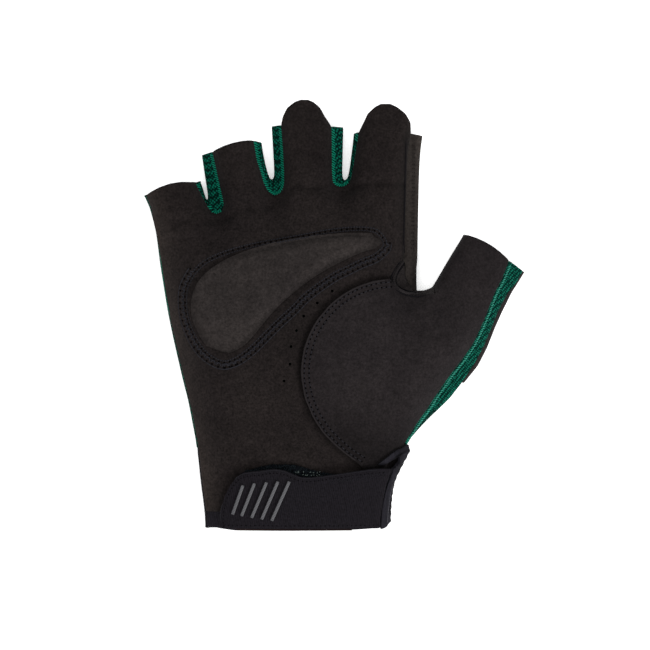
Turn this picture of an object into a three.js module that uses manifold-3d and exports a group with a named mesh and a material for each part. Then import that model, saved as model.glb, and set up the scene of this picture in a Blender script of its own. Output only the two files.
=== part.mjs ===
import * as THREE from "three";
import { mergeVertices } from "three/addons/utils/BufferGeometryUtils.js";
import Module from "manifold-3d";

const wasm = await Module();
wasm.setup();

// Driving sizes in millimetres
const palmBreadth = 100; // palm panel, little finger seam to index finger seam
const palmLength = 100; // wrist hem to the top of the thumb panel
const bodyDepth = 19; // back of the hand to the crown of the palm
const fingerDepth = 14.4; // crown of a finger above the back
const thumbDepth = 14.8; // crown of the thumb above its back
const palmWall = 1.4;
const hemWall = 1.6;
const thumbWall = 1.4;
const backWall = 1.2;
const sideWall = 1.2;
const cuffWall = 1.7;
const tabWall = 1.4;
const strapWall = 2.2;
const loopWall = 1.2;
const padRise = 2.6; // gel pad above the palm
const barRise = 0.6; // grip bar above the strap
const barWidth = 1.2;
const seamGap = 0.35; // clearance between neighbouring pieces
const rollWidth = 15; // how far in from a seam the palm still curves
const sliverWidth = 1; // back fabric seen outside the palm seam
const tuck = 1; // side pieces draw in by this much at the back
const turnUp = 2.4; // rise of the back's edge at a side piece
const ventRadius = 0.55;

// A table's columns that end in X are hundredths of palmBreadth, in Y of palmLength,
// and in Z are shares of bodyDepth
function table(columns, rows) {
  const names = columns.split(" ");
  const unit = (name) => {
    if (name.endsWith("X")) return palmBreadth / 100;
    if (name.endsWith("Y")) return palmLength / 100;
    if (name.endsWith("Z")) return bodyDepth;
    return 1;
  };
  return rows.map((row) => Object.fromEntries(names.map((name, n) => [name, row[n] * unit(name)])));
}

const clamp = (value) => Math.min(1, Math.max(0, value));
const mix = (a, b, share) => a + (b - a) * share;

// Reads one column of a table against another, which rises down the table
function reading(rows, from, to, value) {
  let n = 0;
  while (n < rows.length - 2 && value > rows[n + 1][from]) n += 1;
  const [low, high] = [rows[n], rows[n + 1]];
  return mix(low[to], high[to], clamp((value - low[from]) / (high[from] - low[from])));
}

// Outline of the hand on the little finger's side, from the hem up
const littleSide = table("edgeY edgeX", [
  [-1, -39.6], [2, -39.7], [6.5, -39.9], [16.6, -41.4], [25, -42.3], [32.1, -42.9],
  [42.9, -45.1], [49.9, -46.2], [57.6, -48.4], [69.6, -51.1], [81.6, -53.9],
  [94.8, -56], [105.2, -57.7], [116.6, -59], [125.9, -61.5], [130.5, -63.6],
]);
const littleEdge = (y) => reading(littleSide, "edgeY", "edgeX", y);
const littleSeam = (y) => littleEdge(y) + sliverWidth;

// Right edge of the palm panel: the cuff, the cut under the thumb panel, the index seam
const palmSide = table("seamY seamX", [
  [0, 29.4], [10, 29.4], [17, 28.8], [20, 26.5], [30, 20], [40, 13], [50, 7.5], [62, 5.5], [75, 8],
  [85, 14.5], [90, 21], [94, 28.6], [97, 33], [99.5, 34], [102, 35.2], [105.7, 38.2],
  [114.5, 38.1], [125.1, 38.6], [134, 39.2], [139.5, 39.4], [147.9, 39.8], [154.8, 41],
]);
const palmSeam = (y) => reading(palmSide, "seamY", "seamX", y);

// Where the crown rolls down to the thumb side seam
const rollSide = table("seamY seamX", [
  [0, 29.6], [15, 30.5], [24, 33], [32.6, 37.6], [40.5, 42.5], [46.9, 47], [53.6, 51.4],
  [61.3, 56.8], [67.6, 61.7], [73, 65.3], [80.6, 68.9], [92.2, 73.4],
]);

// Heights up the hand
const depths = table("atY seamZ crownZ", [
  [0, 0.36, 0.7], [10, 0.38, 0.75], [24, 0.4, 0.83], [40, 0.42, 0.92], [60, 0.44, 0.99],
  [85, 0.46, 1], [105, 0.48, 0.95], [120, 0.49, 0.88], [135, 0.49, 0.8], [160, 0.47, 0.74],
]);
const crotch = table("spotX spotY", [[43.8, 95]])[0];
const crotchDip = 7;
const crotchSpread = 11;

const roll = (distance) => 1 - (1 - clamp(distance / rollWidth)) ** 2.2;
const ease = (value) => clamp(value) ** 2 * (3 - 2 * clamp(value));

// How far the face falls towards the crotch of the thumb
function crotchFall(x, y) {
  const apart = Math.hypot(x - crotch.spotX, y - crotch.spotY);
  return crotchDip * Math.exp(-((apart / crotchSpread) ** 2));
}

// Height of the palm's outer face over the back
function palmHeight(x, y) {
  const seam = reading(depths, "atY", "seamZ", y);
  const crown = reading(depths, "atY", "crownZ", y);
  const beyond = ease((y / palmLength - 0.98) / 0.13);
  const thumbRoll = roll(reading(rollSide, "seamY", "seamX", y) - x);
  const indexRoll = roll(palmSeam(y) - x);
  const right = mix(thumbRoll, indexRoll, beyond);
  return seam + (crown - seam) * roll(x - littleSeam(y)) * right - crotchFall(x, y);
}

// A sheet of cloth: outer points by name, and quads that face out
const newSheet = (wall) => ({ wall, outer: new Map(), inner: new Map(), quads: [] });
const named = (i, j) => i + ":" + j;

function put(sheet, key, x, y, z) {
  sheet.outer.set(key, new THREE.Vector3(x, y, z));
}

function quad(sheet, keys, turned) {
  sheet.quads.push(turned ? [keys[0], keys[3], keys[2], keys[1]] : keys);
}

function fill(sheet, iFrom, iTo, jFrom, jTo, turned = false) {
  for (let i = iFrom; i < iTo; i += 1) {
    for (let j = jFrom; j < jTo; j += 1) {
      quad(sheet, [named(i, j), named(i + 1, j), named(i + 1, j + 1), named(i, j + 1)], turned);
    }
  }
}

// Thickens a sheet inwards along the normals of its outer points
function thicken(sheet) {
  const normals = new Map();
  for (const keys of sheet.quads) {
    const [a, b, c, d] = keys.map((key) => sheet.outer.get(key));
    const across = new THREE.Vector3().subVectors(c, a);
    const normal = across.cross(new THREE.Vector3().subVectors(d, b)).normalize();
    for (const key of keys) {
      if (!normals.has(key)) normals.set(key, new THREE.Vector3());
      normals.get(key).add(normal);
    }
  }
  for (const [key, normal] of normals) {
    const inner = sheet.outer.get(key).clone().addScaledVector(normal.normalize(), -sheet.wall);
    if (!sheet.inner.has(key)) sheet.inner.set(key, inner);
  }
  return sheet;
}

// Closes a sheet with side walls where a quad has no neighbour
function closedMesh(name, sheet, finish) {
  const places = [];
  const edges = new Map();
  const triangle = (a, b, c) => places.push(...a.toArray(), ...b.toArray(), ...c.toArray());
  for (const keys of sheet.quads) {
    const [a, b, c, d] = keys.map((key) => sheet.outer.get(key));
    const [e, f, g, h] = keys.map((key) => sheet.inner.get(key));
    triangle(a, b, c);
    triangle(a, c, d);
    triangle(e, g, f);
    triangle(e, h, g);
    keys.forEach((key, n) => edges.set(key + ">" + keys[(n + 1) % 4], [key, keys[(n + 1) % 4]]));
  }
  for (const [from, to] of edges.values()) {
    if (edges.has(to + ">" + from)) continue;
    const [a, b] = [sheet.outer.get(from), sheet.outer.get(to)];
    const [c, d] = [sheet.inner.get(from), sheet.inner.get(to)];
    triangle(a, c, d);
    triangle(a, d, b);
  }
  const geometry = new THREE.BufferGeometry();
  geometry.setAttribute("position", new THREE.Float32BufferAttribute(places, 3));
  geometry.computeVertexNormals();
  const mesh = new THREE.Mesh(geometry, new THREE.MeshStandardMaterial(finish));
  mesh.name = name;
  return mesh;
}

// The height just clear of a sheet's edge, inside the glove
const rimUnder = (sheet, key) => Math.min(sheet.inner.get(key).z, sheet.outer.get(key).z) - seamGap;
const rimOver = (sheet, key) => Math.max(sheet.inner.get(key).z, sheet.outer.get(key).z) + seamGap;

// The notches between fingers: the palm's seam and the outline of the side piece,
// from the tip of the left finger round the bottom to the tip of the right finger
const notchColumns = "seamX seamY edgeX edgeY";
const notches = [
  table(notchColumns, [
    [-43.2, 135.6, -41.2, 136.4], [-41.4, 132, -40.4, 134], [-39.8, 129, -39.7, 131.6],
    [-38.2, 126, -39.4, 130.2], [-36.9, 124.1, -39.1, 129.5], [-34.8, 123.4, -38.8, 129.2],
    [-32.9, 124.3, -38.5, 129.4], [-32.1, 126.8, -38.4, 130.2], [-32.9, 131, -38.7, 132.8],
    [-34.6, 138.6, -39.7, 139], [-36.6, 147.7, -40.8, 146.4],
  ]),
  table(notchColumns, [
    [-20.5, 152.1, -17.3, 151.4], [-19.2, 144.5, -16.3, 145.5], [-17.6, 139.5, -15.2, 140.8],
    [-16.4, 135.4, -14.4, 138.3], [-14.9, 132.4, -13.9, 137.3], [-12.3, 130.6, -13.4, 137],
    [-9.9, 131.8, -12.9, 137.3], [-8.7, 134.8, -12.5, 138.3], [-8.6, 139.5, -12.5, 141],
    [-9.1, 149, -13, 149.5], [-9.8, 158.1, -13.5, 157.7],
  ]),
  table(notchColumns, [
    [10, 157.6, 14.6, 157.3], [10.1, 148, 14.4, 148], [10.2, 139.5, 14.2, 140.5],
    [10.6, 135.8, 14.3, 138], [11.8, 134.4, 14.6, 137.1], [13.7, 134, 15.1, 136.8],
    [15.6, 134.6, 15.7, 137.1], [17, 135.9, 16.3, 138], [18, 139.5, 16.8, 140.5],
    [19.3, 147.5, 17.7, 147.5], [20.6, 155.5, 18.6, 154.9],
  ]),
];
const littleRise = table("seamY", [[124], [127], [129], [130.6]]);
const indexRise = table("seamY", [[134], [139.5], [147.9], [154.8]]);
const tipBulges = [2, 1, 0, 0];
const fingerShares = [0, 0.1, 0.27, 0.5, 0.73, 0.9, 1];
const gapSteps = 4;
const fingerRows = 3;

// Left and right seam of a finger at a row, row 0 being its base
function fingerSeams(finger, row) {
  const left = finger ? notches[finger - 1][7 + row] : null;
  const right = finger < 3 ? notches[finger][3 - row] : null;
  return {
    leftX: left ? left.seamX : littleSeam(littleRise[row].seamY),
    leftY: left ? left.seamY : littleRise[row].seamY,
    rightX: right ? right.seamX : palmSeam(indexRise[row].seamY),
    rightY: right ? right.seamY : indexRise[row].seamY,
  };
}

// Columns of the palm across all four fingers and the three notches
const columns = [];
for (let finger = 0; finger < 4; finger += 1) {
  for (const share of fingerShares) {
    const seams = fingerSeams(finger, 0);
    const x = mix(seams.leftX, seams.rightX, share);
    const y = mix(seams.leftY, seams.rightY, share);
    columns.push({ finger, share, x, y });
  }
  for (let step = 1; step < gapSteps && finger < 3; step += 1) {
    const spot = notches[finger][3 + step];
    columns.push({ finger: -1, share: 0, x: spot.seamX, y: spot.seamY });
  }
}
const lastColumn = columns.length - 1;
const firstOf = (finger) => finger * (fingerShares.length - 1 + gapSteps);
const base = (column) => (column.x - columns[0].x) / (columns[lastColumn].x - columns[0].x);

// Height across a finger, its share running from one seam to the other
function fingerHeight(share, y) {
  const seam = reading(depths, "atY", "seamZ", y);
  const crown = reading(depths, "atY", "crownZ", y) * (fingerDepth / (0.76 * bodyDepth));
  return seam + (crown - seam) * Math.max(0, 1 - Math.abs(2 * share - 1) ** 2.6) ** 0.6;
}

// Pull tabs over the middle and the index finger, as rows of the dome
const tabColumns = "leftX rightX atY flat";
const tabs = {
  2: table(tabColumns, [
    [-9.1, 7.4, 161.3, 0.5], [-7.4, 5.6, 164.6, 0.8], [-4.4, 2.9, 166.9, 0.95], [-2, 0.6, 167.7, 1],
  ]),
  3: table(tabColumns, [
    [22.4, 40.8, 159, 0.5], [24, 38.8, 162.4, 0.8], [26.8, 35.5, 164.9, 0.95], [29.2, 32.8, 166.1, 1],
  ]),
};

// Rows of the palm panel below the fingers
const seamRow = 7.2; // hundredths of palmLength, top of the hem
const lowRows = table("atY", [
  [seamRow], [14], [22], [30], [38], [47], [56], [65], [74], [82], [88], [93], [97], [101], [106],
]);
const rises = [0.3, 0.6, 0.84, 1];
const blends = [0, 0.15, 0.55, 1];

const palm = newSheet(palmWall);
const baseRow = lowRows.length - 1 + rises.length;
columns.forEach((column, i) => {
  lowRows.forEach((row, j) => {
    const x = mix(littleSeam(row.atY), palmSeam(row.atY), base(column));
    put(palm, named(i, j), x, row.atY, palmHeight(x, row.atY));
  });
  const lowY = lowRows[lowRows.length - 1].atY;
  rises.forEach((rise, n) => {
    const y = mix(lowY, column.y, rise);
    const evenX = mix(littleSeam(y), palmSeam(y), base(column));
    const x = mix(evenX, column.x, rise ** 2);
    const high = column.finger < 0 ? fingerHeight(0, y) : fingerHeight(column.share, y);
    put(palm, named(i, lowRows.length + n), x, y, mix(palmHeight(x, y), high, blends[n]));
  });
});
fill(palm, 0, lastColumn, 0, baseRow);
for (let finger = 0; finger < 4; finger += 1) {
  const first = firstOf(finger);
  for (let row = 1; row <= fingerRows; row += 1) {
    const seams = fingerSeams(finger, row);
    fingerShares.forEach((share, n) => {
      const bulge = (tipBulges[finger] * 4 * share * (1 - share) * row) / fingerRows;
      const x = mix(seams.leftX, seams.rightX, share);
      const y = mix(seams.leftY, seams.rightY, share) + bulge;
      put(palm, named(first + n, baseRow + row), x, y, fingerHeight(share, y));
    });
  }
  const dome = tabs[finger] || [];
  dome.forEach((row, k) => {
    fingerShares.forEach((share, n) => {
      const x = mix(row.leftX, row.rightX, share);
      const y = row.atY + (k === dome.length - 1 ? 0 : 0.4 * (share - share ** 2));
      const high = mix(fingerHeight(share, y), fingerHeight(0.5, y) - 0.4, row.flat);
      put(palm, named(first + n, baseRow + fingerRows + 1 + k), x, y, high);
    });
  });
  fill(palm, first, first + fingerShares.length - 1, baseRow, baseRow + fingerRows + dome.length);
}
thicken(palm);

// Hem across the palm's wrist end
const hemFoot = table("atX atY", [
  [-40, 1.8], [-29, 0], [-7.4, -0.2], [10.5, 0], [22.5, 0.4], [30, 0.9],
]);
const hem = newSheet(hemWall);
const hemShares = [0, 0.03, 0.08, 0.16, 0.28, 0.4, 0.52, 0.64, 0.76, 0.86, 0.94, 1];
const hemRows = [0, 0.5, 1];
const hemTop = (seamRow * palmLength) / 100 - seamGap;
hemShares.forEach((share, i) => {
  hemRows.forEach((rise, j) => {
    const spread = mix(littleSeam(0), palmSeam(0), share);
    const y = mix(reading(hemFoot, "atX", "atY", spread), hemTop, rise);
    const x = mix(littleSeam(y), palmSeam(y), share);
    put(hem, named(i, j), x, y, palmHeight(x, y));
  });
});
fill(hem, 0, hemShares.length - 1, 0, hemRows.length - 1);
thicken(hem);

// The back of the hand, its edge turned up all round, wrapping the little finger's side
const backSeam = (spot) => {
  const long = Math.hypot(spot.seamX - spot.edgeX, spot.seamY - spot.edgeY);
  const share = tuck / long;
  return { x: mix(spot.edgeX, spot.seamX, share), y: mix(spot.edgeY, spot.seamY, share) };
};
const backSide = table("edgeY edgeX", [
  [32, 38], [40, 45], [46, 51], [52, 57], [57, 61], [57.6, 60.6], [65, 57.3], [75, 52.9],
  [85, 48.6], [92, 45.4], [95, 43.4], [107, 43.6], [129.3, 44], [142, 44.3], [150, 44.8], [154, 45.6],
]);
const backRight = (y) => reading(backSide, "edgeY", "edgeX", y) - tuck;
const backLow = (32 * palmLength) / 100;
const thumbSeamFoot = (57.3 * palmLength) / 100;
const thumbSeamHead = (93 * palmLength) / 100;
const backLift = (y) => (y > thumbSeamFoot && y < thumbSeamHead ? 0 : turnUp);

// Columns of a wrapped side: share of the wrap's height, and how far in from the outline
const wrapHeights = [1, 0.62, 0.2, 0];
const wrapInsets = [sliverWidth, 0, 1.1, 4.2];
const wrapLast = wrapHeights.length - 1;
const backShares = [0, 0.12, 0.5, 0.88, 1];
const backHeights = [turnUp, 0, 0, 0, turnUp];
const littleBack = [0.32, 0.6, 0.88, 1];

function backFinger(finger, row) {
  const left = finger ? backSeam(notches[finger - 1][7 + row]) : null;
  const right = finger < 3 ? backSeam(notches[finger][3 - row]) : null;
  const littleY = littleRise[row].seamY;
  const indexY = indexRise[row].seamY - (row === fingerRows ? 0.8 : 0);
  return {
    leftX: left ? left.x : littleEdge(littleY),
    leftY: left ? left.y : littleY,
    rightX: right ? right.x : backRight(indexY),
    rightY: right ? right.y : indexY,
  };
}

const back = newSheet(backWall);
const backColumns = [];
for (let finger = 0; finger < 4; finger += 1) {
  const seams = backFinger(finger, 0);
  const shares = finger ? backShares : littleBack;
  shares.forEach((share, n) => {
    const x = mix(seams.leftX, seams.rightX, share);
    const y = mix(seams.leftY, seams.rightY, share);
    const high = finger ? backHeights[n] : backHeights[n + 1];
    backColumns.push({ finger, share, x, y, high });
  });
  for (let step = 1; step < gapSteps && finger < 3; step += 1) {
    const spot = backSeam(notches[finger][3 + step]);
    backColumns.push({ finger: -1, share: 0, x: spot.x, y: spot.y, high: turnUp });
  }
}
const backLast = backColumns.length - 1;
const backStart = (finger) => (finger ? finger * 8 - 1 : 0);
const backRows = table("atY", [[32], [40], [46], [52], [57], [65], [75], [85], [92], [95], [103], [111]]);
const backRises = [0.4, 0.75, 1];
const backBase = backRows.length - 1 + backRises.length;
const backWide = backColumns[backLast].x - backColumns[0].x;

// The four wrapping columns stand to the left of column 0, as -4 to -1
function putWrap(sheet, j, y, rim) {
  wrapHeights.forEach((share, n) => {
    put(sheet, named(n - wrapLast - 1, j), littleEdge(y) + wrapInsets[n], y, rim * share);
  });
}
const sideRim = (y) => reading(depths, "atY", "seamZ", y) - palmWall * 0.62 - seamGap;

backColumns.forEach((column, i) => {
  const share = (column.x - backColumns[0].x) / backWide;
  const evenX = (y) => mix(littleEdge(y) + 9, backRight(y), share);
  backRows.forEach((row, j) => {
    const high = i === backLast ? backLift(row.atY) : 0;
    put(back, named(i, j), evenX(row.atY), row.atY, high);
  });
  const lowY = backRows[backRows.length - 1].atY;
  backRises.forEach((rise, n) => {
    const y = mix(lowY, column.y, rise);
    const x = mix(evenX(y), column.x, rise ** 2);
    const edge = i === backLast ? turnUp : 0;
    put(back, named(i, backRows.length + n), x, y, n === backRises.length - 1 ? column.high : edge);
  });
});
for (let j = 0; j <= backBase; j += 1) {
  putWrap(back, j, back.outer.get(named(0, j)).y, sideRim(back.outer.get(named(0, j)).y));
}
fill(back, -4, backLast, 0, backBase, true);
for (let finger = 0; finger < 4; finger += 1) {
  const first = backStart(finger);
  const shares = finger ? backShares : littleBack;
  for (let row = 1; row <= fingerRows; row += 1) {
    const seams = backFinger(finger, row);
    shares.forEach((share, n) => {
      const bulge = (tipBulges[finger] * 4 * share * (1 - share) * row) / fingerRows;
      const x = mix(seams.leftX, seams.rightX, share);
      const y = mix(seams.leftY, seams.rightY, share) + bulge;
      const high = finger ? backHeights[n] : backHeights[n + 1];
      put(back, named(first + n, backBase + row), x, y, high);
    });
    if (!finger) putWrap(back, backBase + row, littleRise[row].seamY, sideRim(littleRise[row].seamY));
  }
  fill(back, finger ? first : -4, first + shares.length - 1, backBase, backBase + fingerRows, true);
}
thicken(back);

// A side piece between the palm's edge and the back's edge: a station has the top rim,
// the outline that it bulges to, and the bottom rim
function sidePiece(stations, wall) {
  const sheet = newSheet(wall);
  stations.forEach((spot, i) => {
    const rise = (share) => mix(spot.low.z, spot.high.z, share);
    const toward = (from, share) => [
      mix(from.x, spot.edgeX, share),
      mix(from.y, spot.edgeY, share),
    ];
    put(sheet, named(i, 0), spot.high.x, spot.high.y, spot.high.z);
    put(sheet, named(i, 1), ...toward(spot.high, 0.62), rise(0.84));
    put(sheet, named(i, 2), spot.edgeX, spot.edgeY, rise(0.5));
    put(sheet, named(i, 3), ...toward(spot.low, 0.6), rise(0.16));
    put(sheet, named(i, 4), spot.low.x, spot.low.y, spot.low.z);
  });
  fill(sheet, 0, stations.length - 1, 0, 4);
  return thicken(sheet);
}

function rimPoint(sheet, key, under) {
  const spot = sheet.outer.get(key);
  return new THREE.Vector3(spot.x, spot.y, under ? rimUnder(sheet, key) : rimOver(sheet, key));
}

// Fourchettes, one round each notch
const fourchettes = notches.map((notch, gap) => {
  const stations = notch.map((spot, n) => {
    const palmRow = baseRow + Math.max(0, 3 - n, n - 7);
    const palmColumn = firstOf(gap) + fingerShares.length - 1 + Math.min(gapSteps, Math.max(0, n - 3));
    const backRow = backBase + Math.max(0, 3 - n, n - 7);
    const backEnd = backStart(gap) + (gap ? backShares : littleBack).length - 1;
    const backColumn = backEnd + Math.min(gapSteps, Math.max(0, n - 3));
    return {
      edgeX: spot.edgeX,
      edgeY: spot.edgeY,
      high: rimPoint(palm, named(palmColumn, palmRow), true),
      low: rimPoint(back, named(backColumn, backRow), false),
    };
  });
  return sidePiece(stations, sideWall);
});

// Gusset down the index finger's side, to the crotch of the thumb
const gussetRows = table("highX highY edgeX edgeY", [
  [41.9, 94.6, 43.4, 94.7], [39.9, 96.6, 43.4, 97], [38.7, 99.6, 43.4, 100], [39, 102.4, 43.4, 102.6],
]);
const gussetDrops = [8.4, 9, 9.8, 10.4];
const gussetStations = [];
for (let row = fingerRows; row >= 0; row -= 1) {
  const high = rimPoint(palm, named(lastColumn, baseRow + row), true);
  const low = rimPoint(back, named(backLast, backBase + row), false);
  const edgeY = row === fingerRows ? low.y : high.y;
  const edgeX = reading(backSide, "edgeY", "edgeX", edgeY);
  gussetStations.push({ high, low, edgeX, edgeY });
}
const backEdge = (y) => new THREE.Vector3(backRight(y), y, turnUp + backWall + seamGap);
for (let n = rises.length - 2; n >= 0; n -= 1) {
  const high = rimPoint(palm, named(lastColumn, lowRows.length + n), true);
  const edgeX = reading(backSide, "edgeY", "edgeX", high.y);
  gussetStations.push({ high, low: backEdge(high.y), edgeX, edgeY: high.y });
}
const gussetTop = rimPoint(palm, named(lastColumn, lowRows.length - 1), true);
gussetStations.push({
  high: gussetTop,
  low: backEdge(gussetTop.y),
  edgeX: reading(backSide, "edgeY", "edgeX", gussetTop.y),
  edgeY: gussetTop.y,
});
for (let n = gussetRows.length - 1; n >= 0; n -= 1) {
  const row = gussetRows[n];
  gussetStations.push({
    high: new THREE.Vector3(row.highX, row.highY, (gussetDrops[n] * bodyDepth) / 19),
    low: backEdge(row.edgeY),
    edgeX: row.edgeX,
    edgeY: row.edgeY,
  });
}
const gusset = sidePiece(gussetStations, sideWall);

// Thumb panel: an oval over the palm that runs on into the thumb's front.
// Each row has its left edge and its seam with the side strip.
const thumbRows = table("leftX leftY seamX seamY", [
  [24.5, 21.5, 35.6, 25], [20.9, 25.8, 37.8, 33], [10.8, 33.4, 42.5, 40.5], [3.9, 41.8, 47, 46.9],
  [-0.4, 52, 51.4, 53.6], [-2.1, 61.8, 56.8, 61.3], [-0.9, 71.2, 61.7, 67.6], [3, 80.2, 65.3, 73],
]);
const thumbShares = [0, 0.06, 0.15, 0.25, 0.35, 0.45, 0.54, 0.62, 0.69, 0.77, 0.85, 0.92, 0.97, 1];
const shoulderColumn = 7; // column of thumbShares where the thumb leaves the palm
const crotchRow = table("atX atY", [
  [10.2, 88.9], [18, 94.2], [26, 97.2], [32.6, 98], [34.6, 95.4], [38, 92.9], [43.4, 91.8],
  [50.4, 92.6], [53.8, 91.4], [58, 88.8], [62, 86], [65.6, 83.4], [67.8, 81.6], [68.9, 80.6],
]);
const thumbTube = table("innerX innerY seamX seamY bulge", [
  [52.4, 100.5, 71.1, 86, 0], [56.1, 106.8, 73.4, 92.2, 0], [59, 111.5, 76.3, 97.6, 0.7],
  [61.5, 115.5, 79.2, 105.2, 1.5],
]);
// Across the thumb: share from the inner side to the seam, and share of thumbDepth
const tubeTop = [
  [0.085, 0.9], [0.22, 0.985], [0.4, 1], [0.58, 1], [0.76, 0.96], [0.91, 0.86], [1, 0.74],
];
const tubeWrap = [[0.045, 0.3], [0, 0.48], [0.02, 0.72]];
const wrapStart = table("atX atY", [[50, 94.3], [49.2, 94.9], [49.5, 94.5]]);
const thumb = newSheet(thumbWall);
const lift = thumbWall + 1.3 * seamGap;
const crotchAt = thumbRows.length + 1;
const thumbEnd = thumbShares.length - 1;
const putThumb = (i, j, x, y) => {
  put(thumb, named(i, j), x, y, palmHeight(x, y) + lift + 0.16 * crotchFall(x, y));
};
thumbRows.forEach((row, j) => {
  thumbShares.forEach((share, i) => {
    putThumb(i, j, mix(row.leftX, row.seamX, share), mix(row.leftY, row.seamY, share));
  });
});
crotchRow.forEach((spot, i) => {
  const below = thumb.outer.get(named(i, crotchAt - 2));
  putThumb(i, crotchAt - 1, mix(below.x, spot.atX, 0.52), mix(below.y, spot.atY, 0.52));
  putThumb(i, crotchAt, spot.atX, spot.atY);
});
fill(thumb, 0, thumbEnd, 0, crotchAt);
thumbTube.forEach((row, n) => {
  const depth = thumbDepth * (1 - 0.012 * n);
  tubeTop.forEach(([share, high], k) => {
    const swell = row.bulge * 4 * share * (1 - share);
    const x = mix(row.innerX, row.seamX, share) + 0.5 * swell;
    const y = mix(row.innerY, row.seamY, share) + 0.86 * swell;
    put(thumb, named(shoulderColumn + k, crotchAt + 1 + n), x, y, depth * high);
  });
  tubeWrap.forEach(([share, high], k) => {
    const x = mix(row.innerX, row.seamX, share);
    const y = mix(row.innerY, row.seamY, share);
    put(thumb, named(k - 3, crotchAt + 1 + n), x, y, depth * high);
  });
});
wrapStart.forEach((spot, k) => {
  put(thumb, named(k - 3, crotchAt), spot.atX, spot.atY, thumbDepth * tubeWrap[k][1]);
});
fill(thumb, shoulderColumn, thumbEnd, crotchAt, crotchAt + thumbTube.length);
fill(thumb, -3, -1, crotchAt, crotchAt + thumbTube.length);
for (let j = crotchAt; j < crotchAt + thumbTube.length; j += 1) {
  quad(thumb, [named(-1, j), named(shoulderColumn, j), named(shoulderColumn, j + 1), named(-1, j + 1)]);
}
thicken(thumb);

// Outer side of the thumb: the strip's outer edge and the outline beyond it
const outerSide = table("stripX stripY edgeX edgeY", [
  [38.9, 33.2, 38.9, 33.2], [45, 40.2, 45, 40.2], [50.6, 45.8, 50.6, 45.8], [56.4, 51.6, 56.4, 51.6],
  [60.8, 57.4, 61.8, 57.2], [65.9, 65, 67.3, 64], [69.2, 71.2, 71, 71.2], [72.6, 79, 74.2, 79.4],
  [75, 85.4, 77.1, 85.8], [78.6, 92.2, 80.4, 92.2], [82.2, 96.6, 83.6, 96.8], [84.6, 101.3, 85.7, 100.7],
]);

// Back of the thumb, turned up on the outside so that its edge shows past the strip
const thumbBackRows = table("innerX innerY", [
  [46.3, 92.7], [50.2, 95.6], [51.6, 98.4], [53.4, 101.2], [55.4, 104.6], [57.8, 108.3],
  [60, 112], [61.9, 114.7],
]);
const lipHeight = 5.6;
const thumbBackShares = [0, 0.06, 0.16, 0.5, 0.84, 0.94];
const thumbBackHeights = [turnUp, 0.7, 0, 0, 0, 0.9];
const thumbBack = newSheet(backWall);
const firstOuterRow = 4;
thumbBackRows.forEach((row, j) => {
  const outer = outerSide[firstOuterRow + j];
  const first = j === 0;
  thumbBackShares.forEach((share, i) => {
    const x = mix(row.innerX, outer.edgeX, share);
    const y = mix(row.innerY, outer.edgeY, share);
    const high = first && i < 2 ? 0 : thumbBackHeights[i];
    put(thumbBack, named(i, j), x, y, high);
  });
  put(thumbBack, named(6, j), outer.edgeX, outer.edgeY, lipHeight * 0.6);
  put(thumbBack, named(7, j), mix(outer.stripX, outer.edgeX, 0.45), mix(outer.stripY, outer.edgeY, 0.45), lipHeight);
});
fill(thumbBack, 0, 7, 0, thumbBackRows.length - 1, true);
thicken(thumbBack);

// Mesh strip down the thumb's outer side
const strip = newSheet(sideWall);
outerSide.forEach((outer, n) => {
  const row = outerSide.length - 1 - n;
  const atTop = n < crotchAt - 2 ? n + 1 : n + 2;
  const seam = rimPoint(thumb, named(thumbEnd, atTop), true);
  const open = n < firstOuterRow;
  const low = open ? turnUp + backWall + seamGap : lipHeight + seamGap;
  const inset = open ? tuck : 0;
  const rise = (share) => mix(low, seam.z, share);
  put(strip, named(row, 0), seam.x, seam.y, seam.z);
  put(strip, named(row, 1), mix(seam.x, outer.stripX, 0.6), mix(seam.y, outer.stripY, 0.6), rise(0.8));
  put(strip, named(row, 2), outer.stripX, outer.stripY, rise(0.4));
  put(strip, named(row, 3), outer.stripX - inset, outer.stripY, rise(0));
});
fill(strip, 0, outerSide.length - 1, 0, 3);
thicken(strip);

// Leaf-shaped wedge in the crotch of the thumb, running on as the web
const wedgeRows = table("innerX innerY outerX outerY", [
  [36.6, 104.2, 39.4, 103.4], [33.4, 100.4, 39.5, 100.6], [33, 95.6, 40, 97.6],
  [36, 91.8, 41.8, 94.6], [41.2, 90, 43.3, 93.4], [45.6, 90.2, 46.3, 93.2], [49, 90.6, 48.5, 94.2],
]);
const wedgeOuter = [7.7, 7.1, 6.8, 6.5, 8.6, 9.2, 9.6];
const wedge = newSheet(sideWall);
const webRow = 4;
wedgeRows.forEach((row, j) => {
  const innerLow = palmHeight(row.innerX, row.innerY) - (j < webRow ? palmWall : 0) - 2 * seamGap;
  [0, 0.5, 1].forEach((share, i) => {
    const high = mix(innerLow, (wedgeOuter[j] * bodyDepth) / 19, share ** 1.2);
    put(wedge, named(i, j), mix(row.innerX, row.outerX, share), mix(row.innerY, row.outerY, share), high);
  });
  if (j < webRow) return;
  put(wedge, named(3, j), row.outerX, row.outerY + 0.2, mix(turnUp + backWall, 8.6, 0.5));
  put(wedge, named(4, j), row.outerX, row.outerY - 0.6, turnUp + backWall + seamGap);
});
fill(wedge, 0, 2, 0, wedgeRows.length - 1, true);
fill(wedge, 2, 4, webRow, wedgeRows.length - 1, true);
thicken(wedge);

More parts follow.
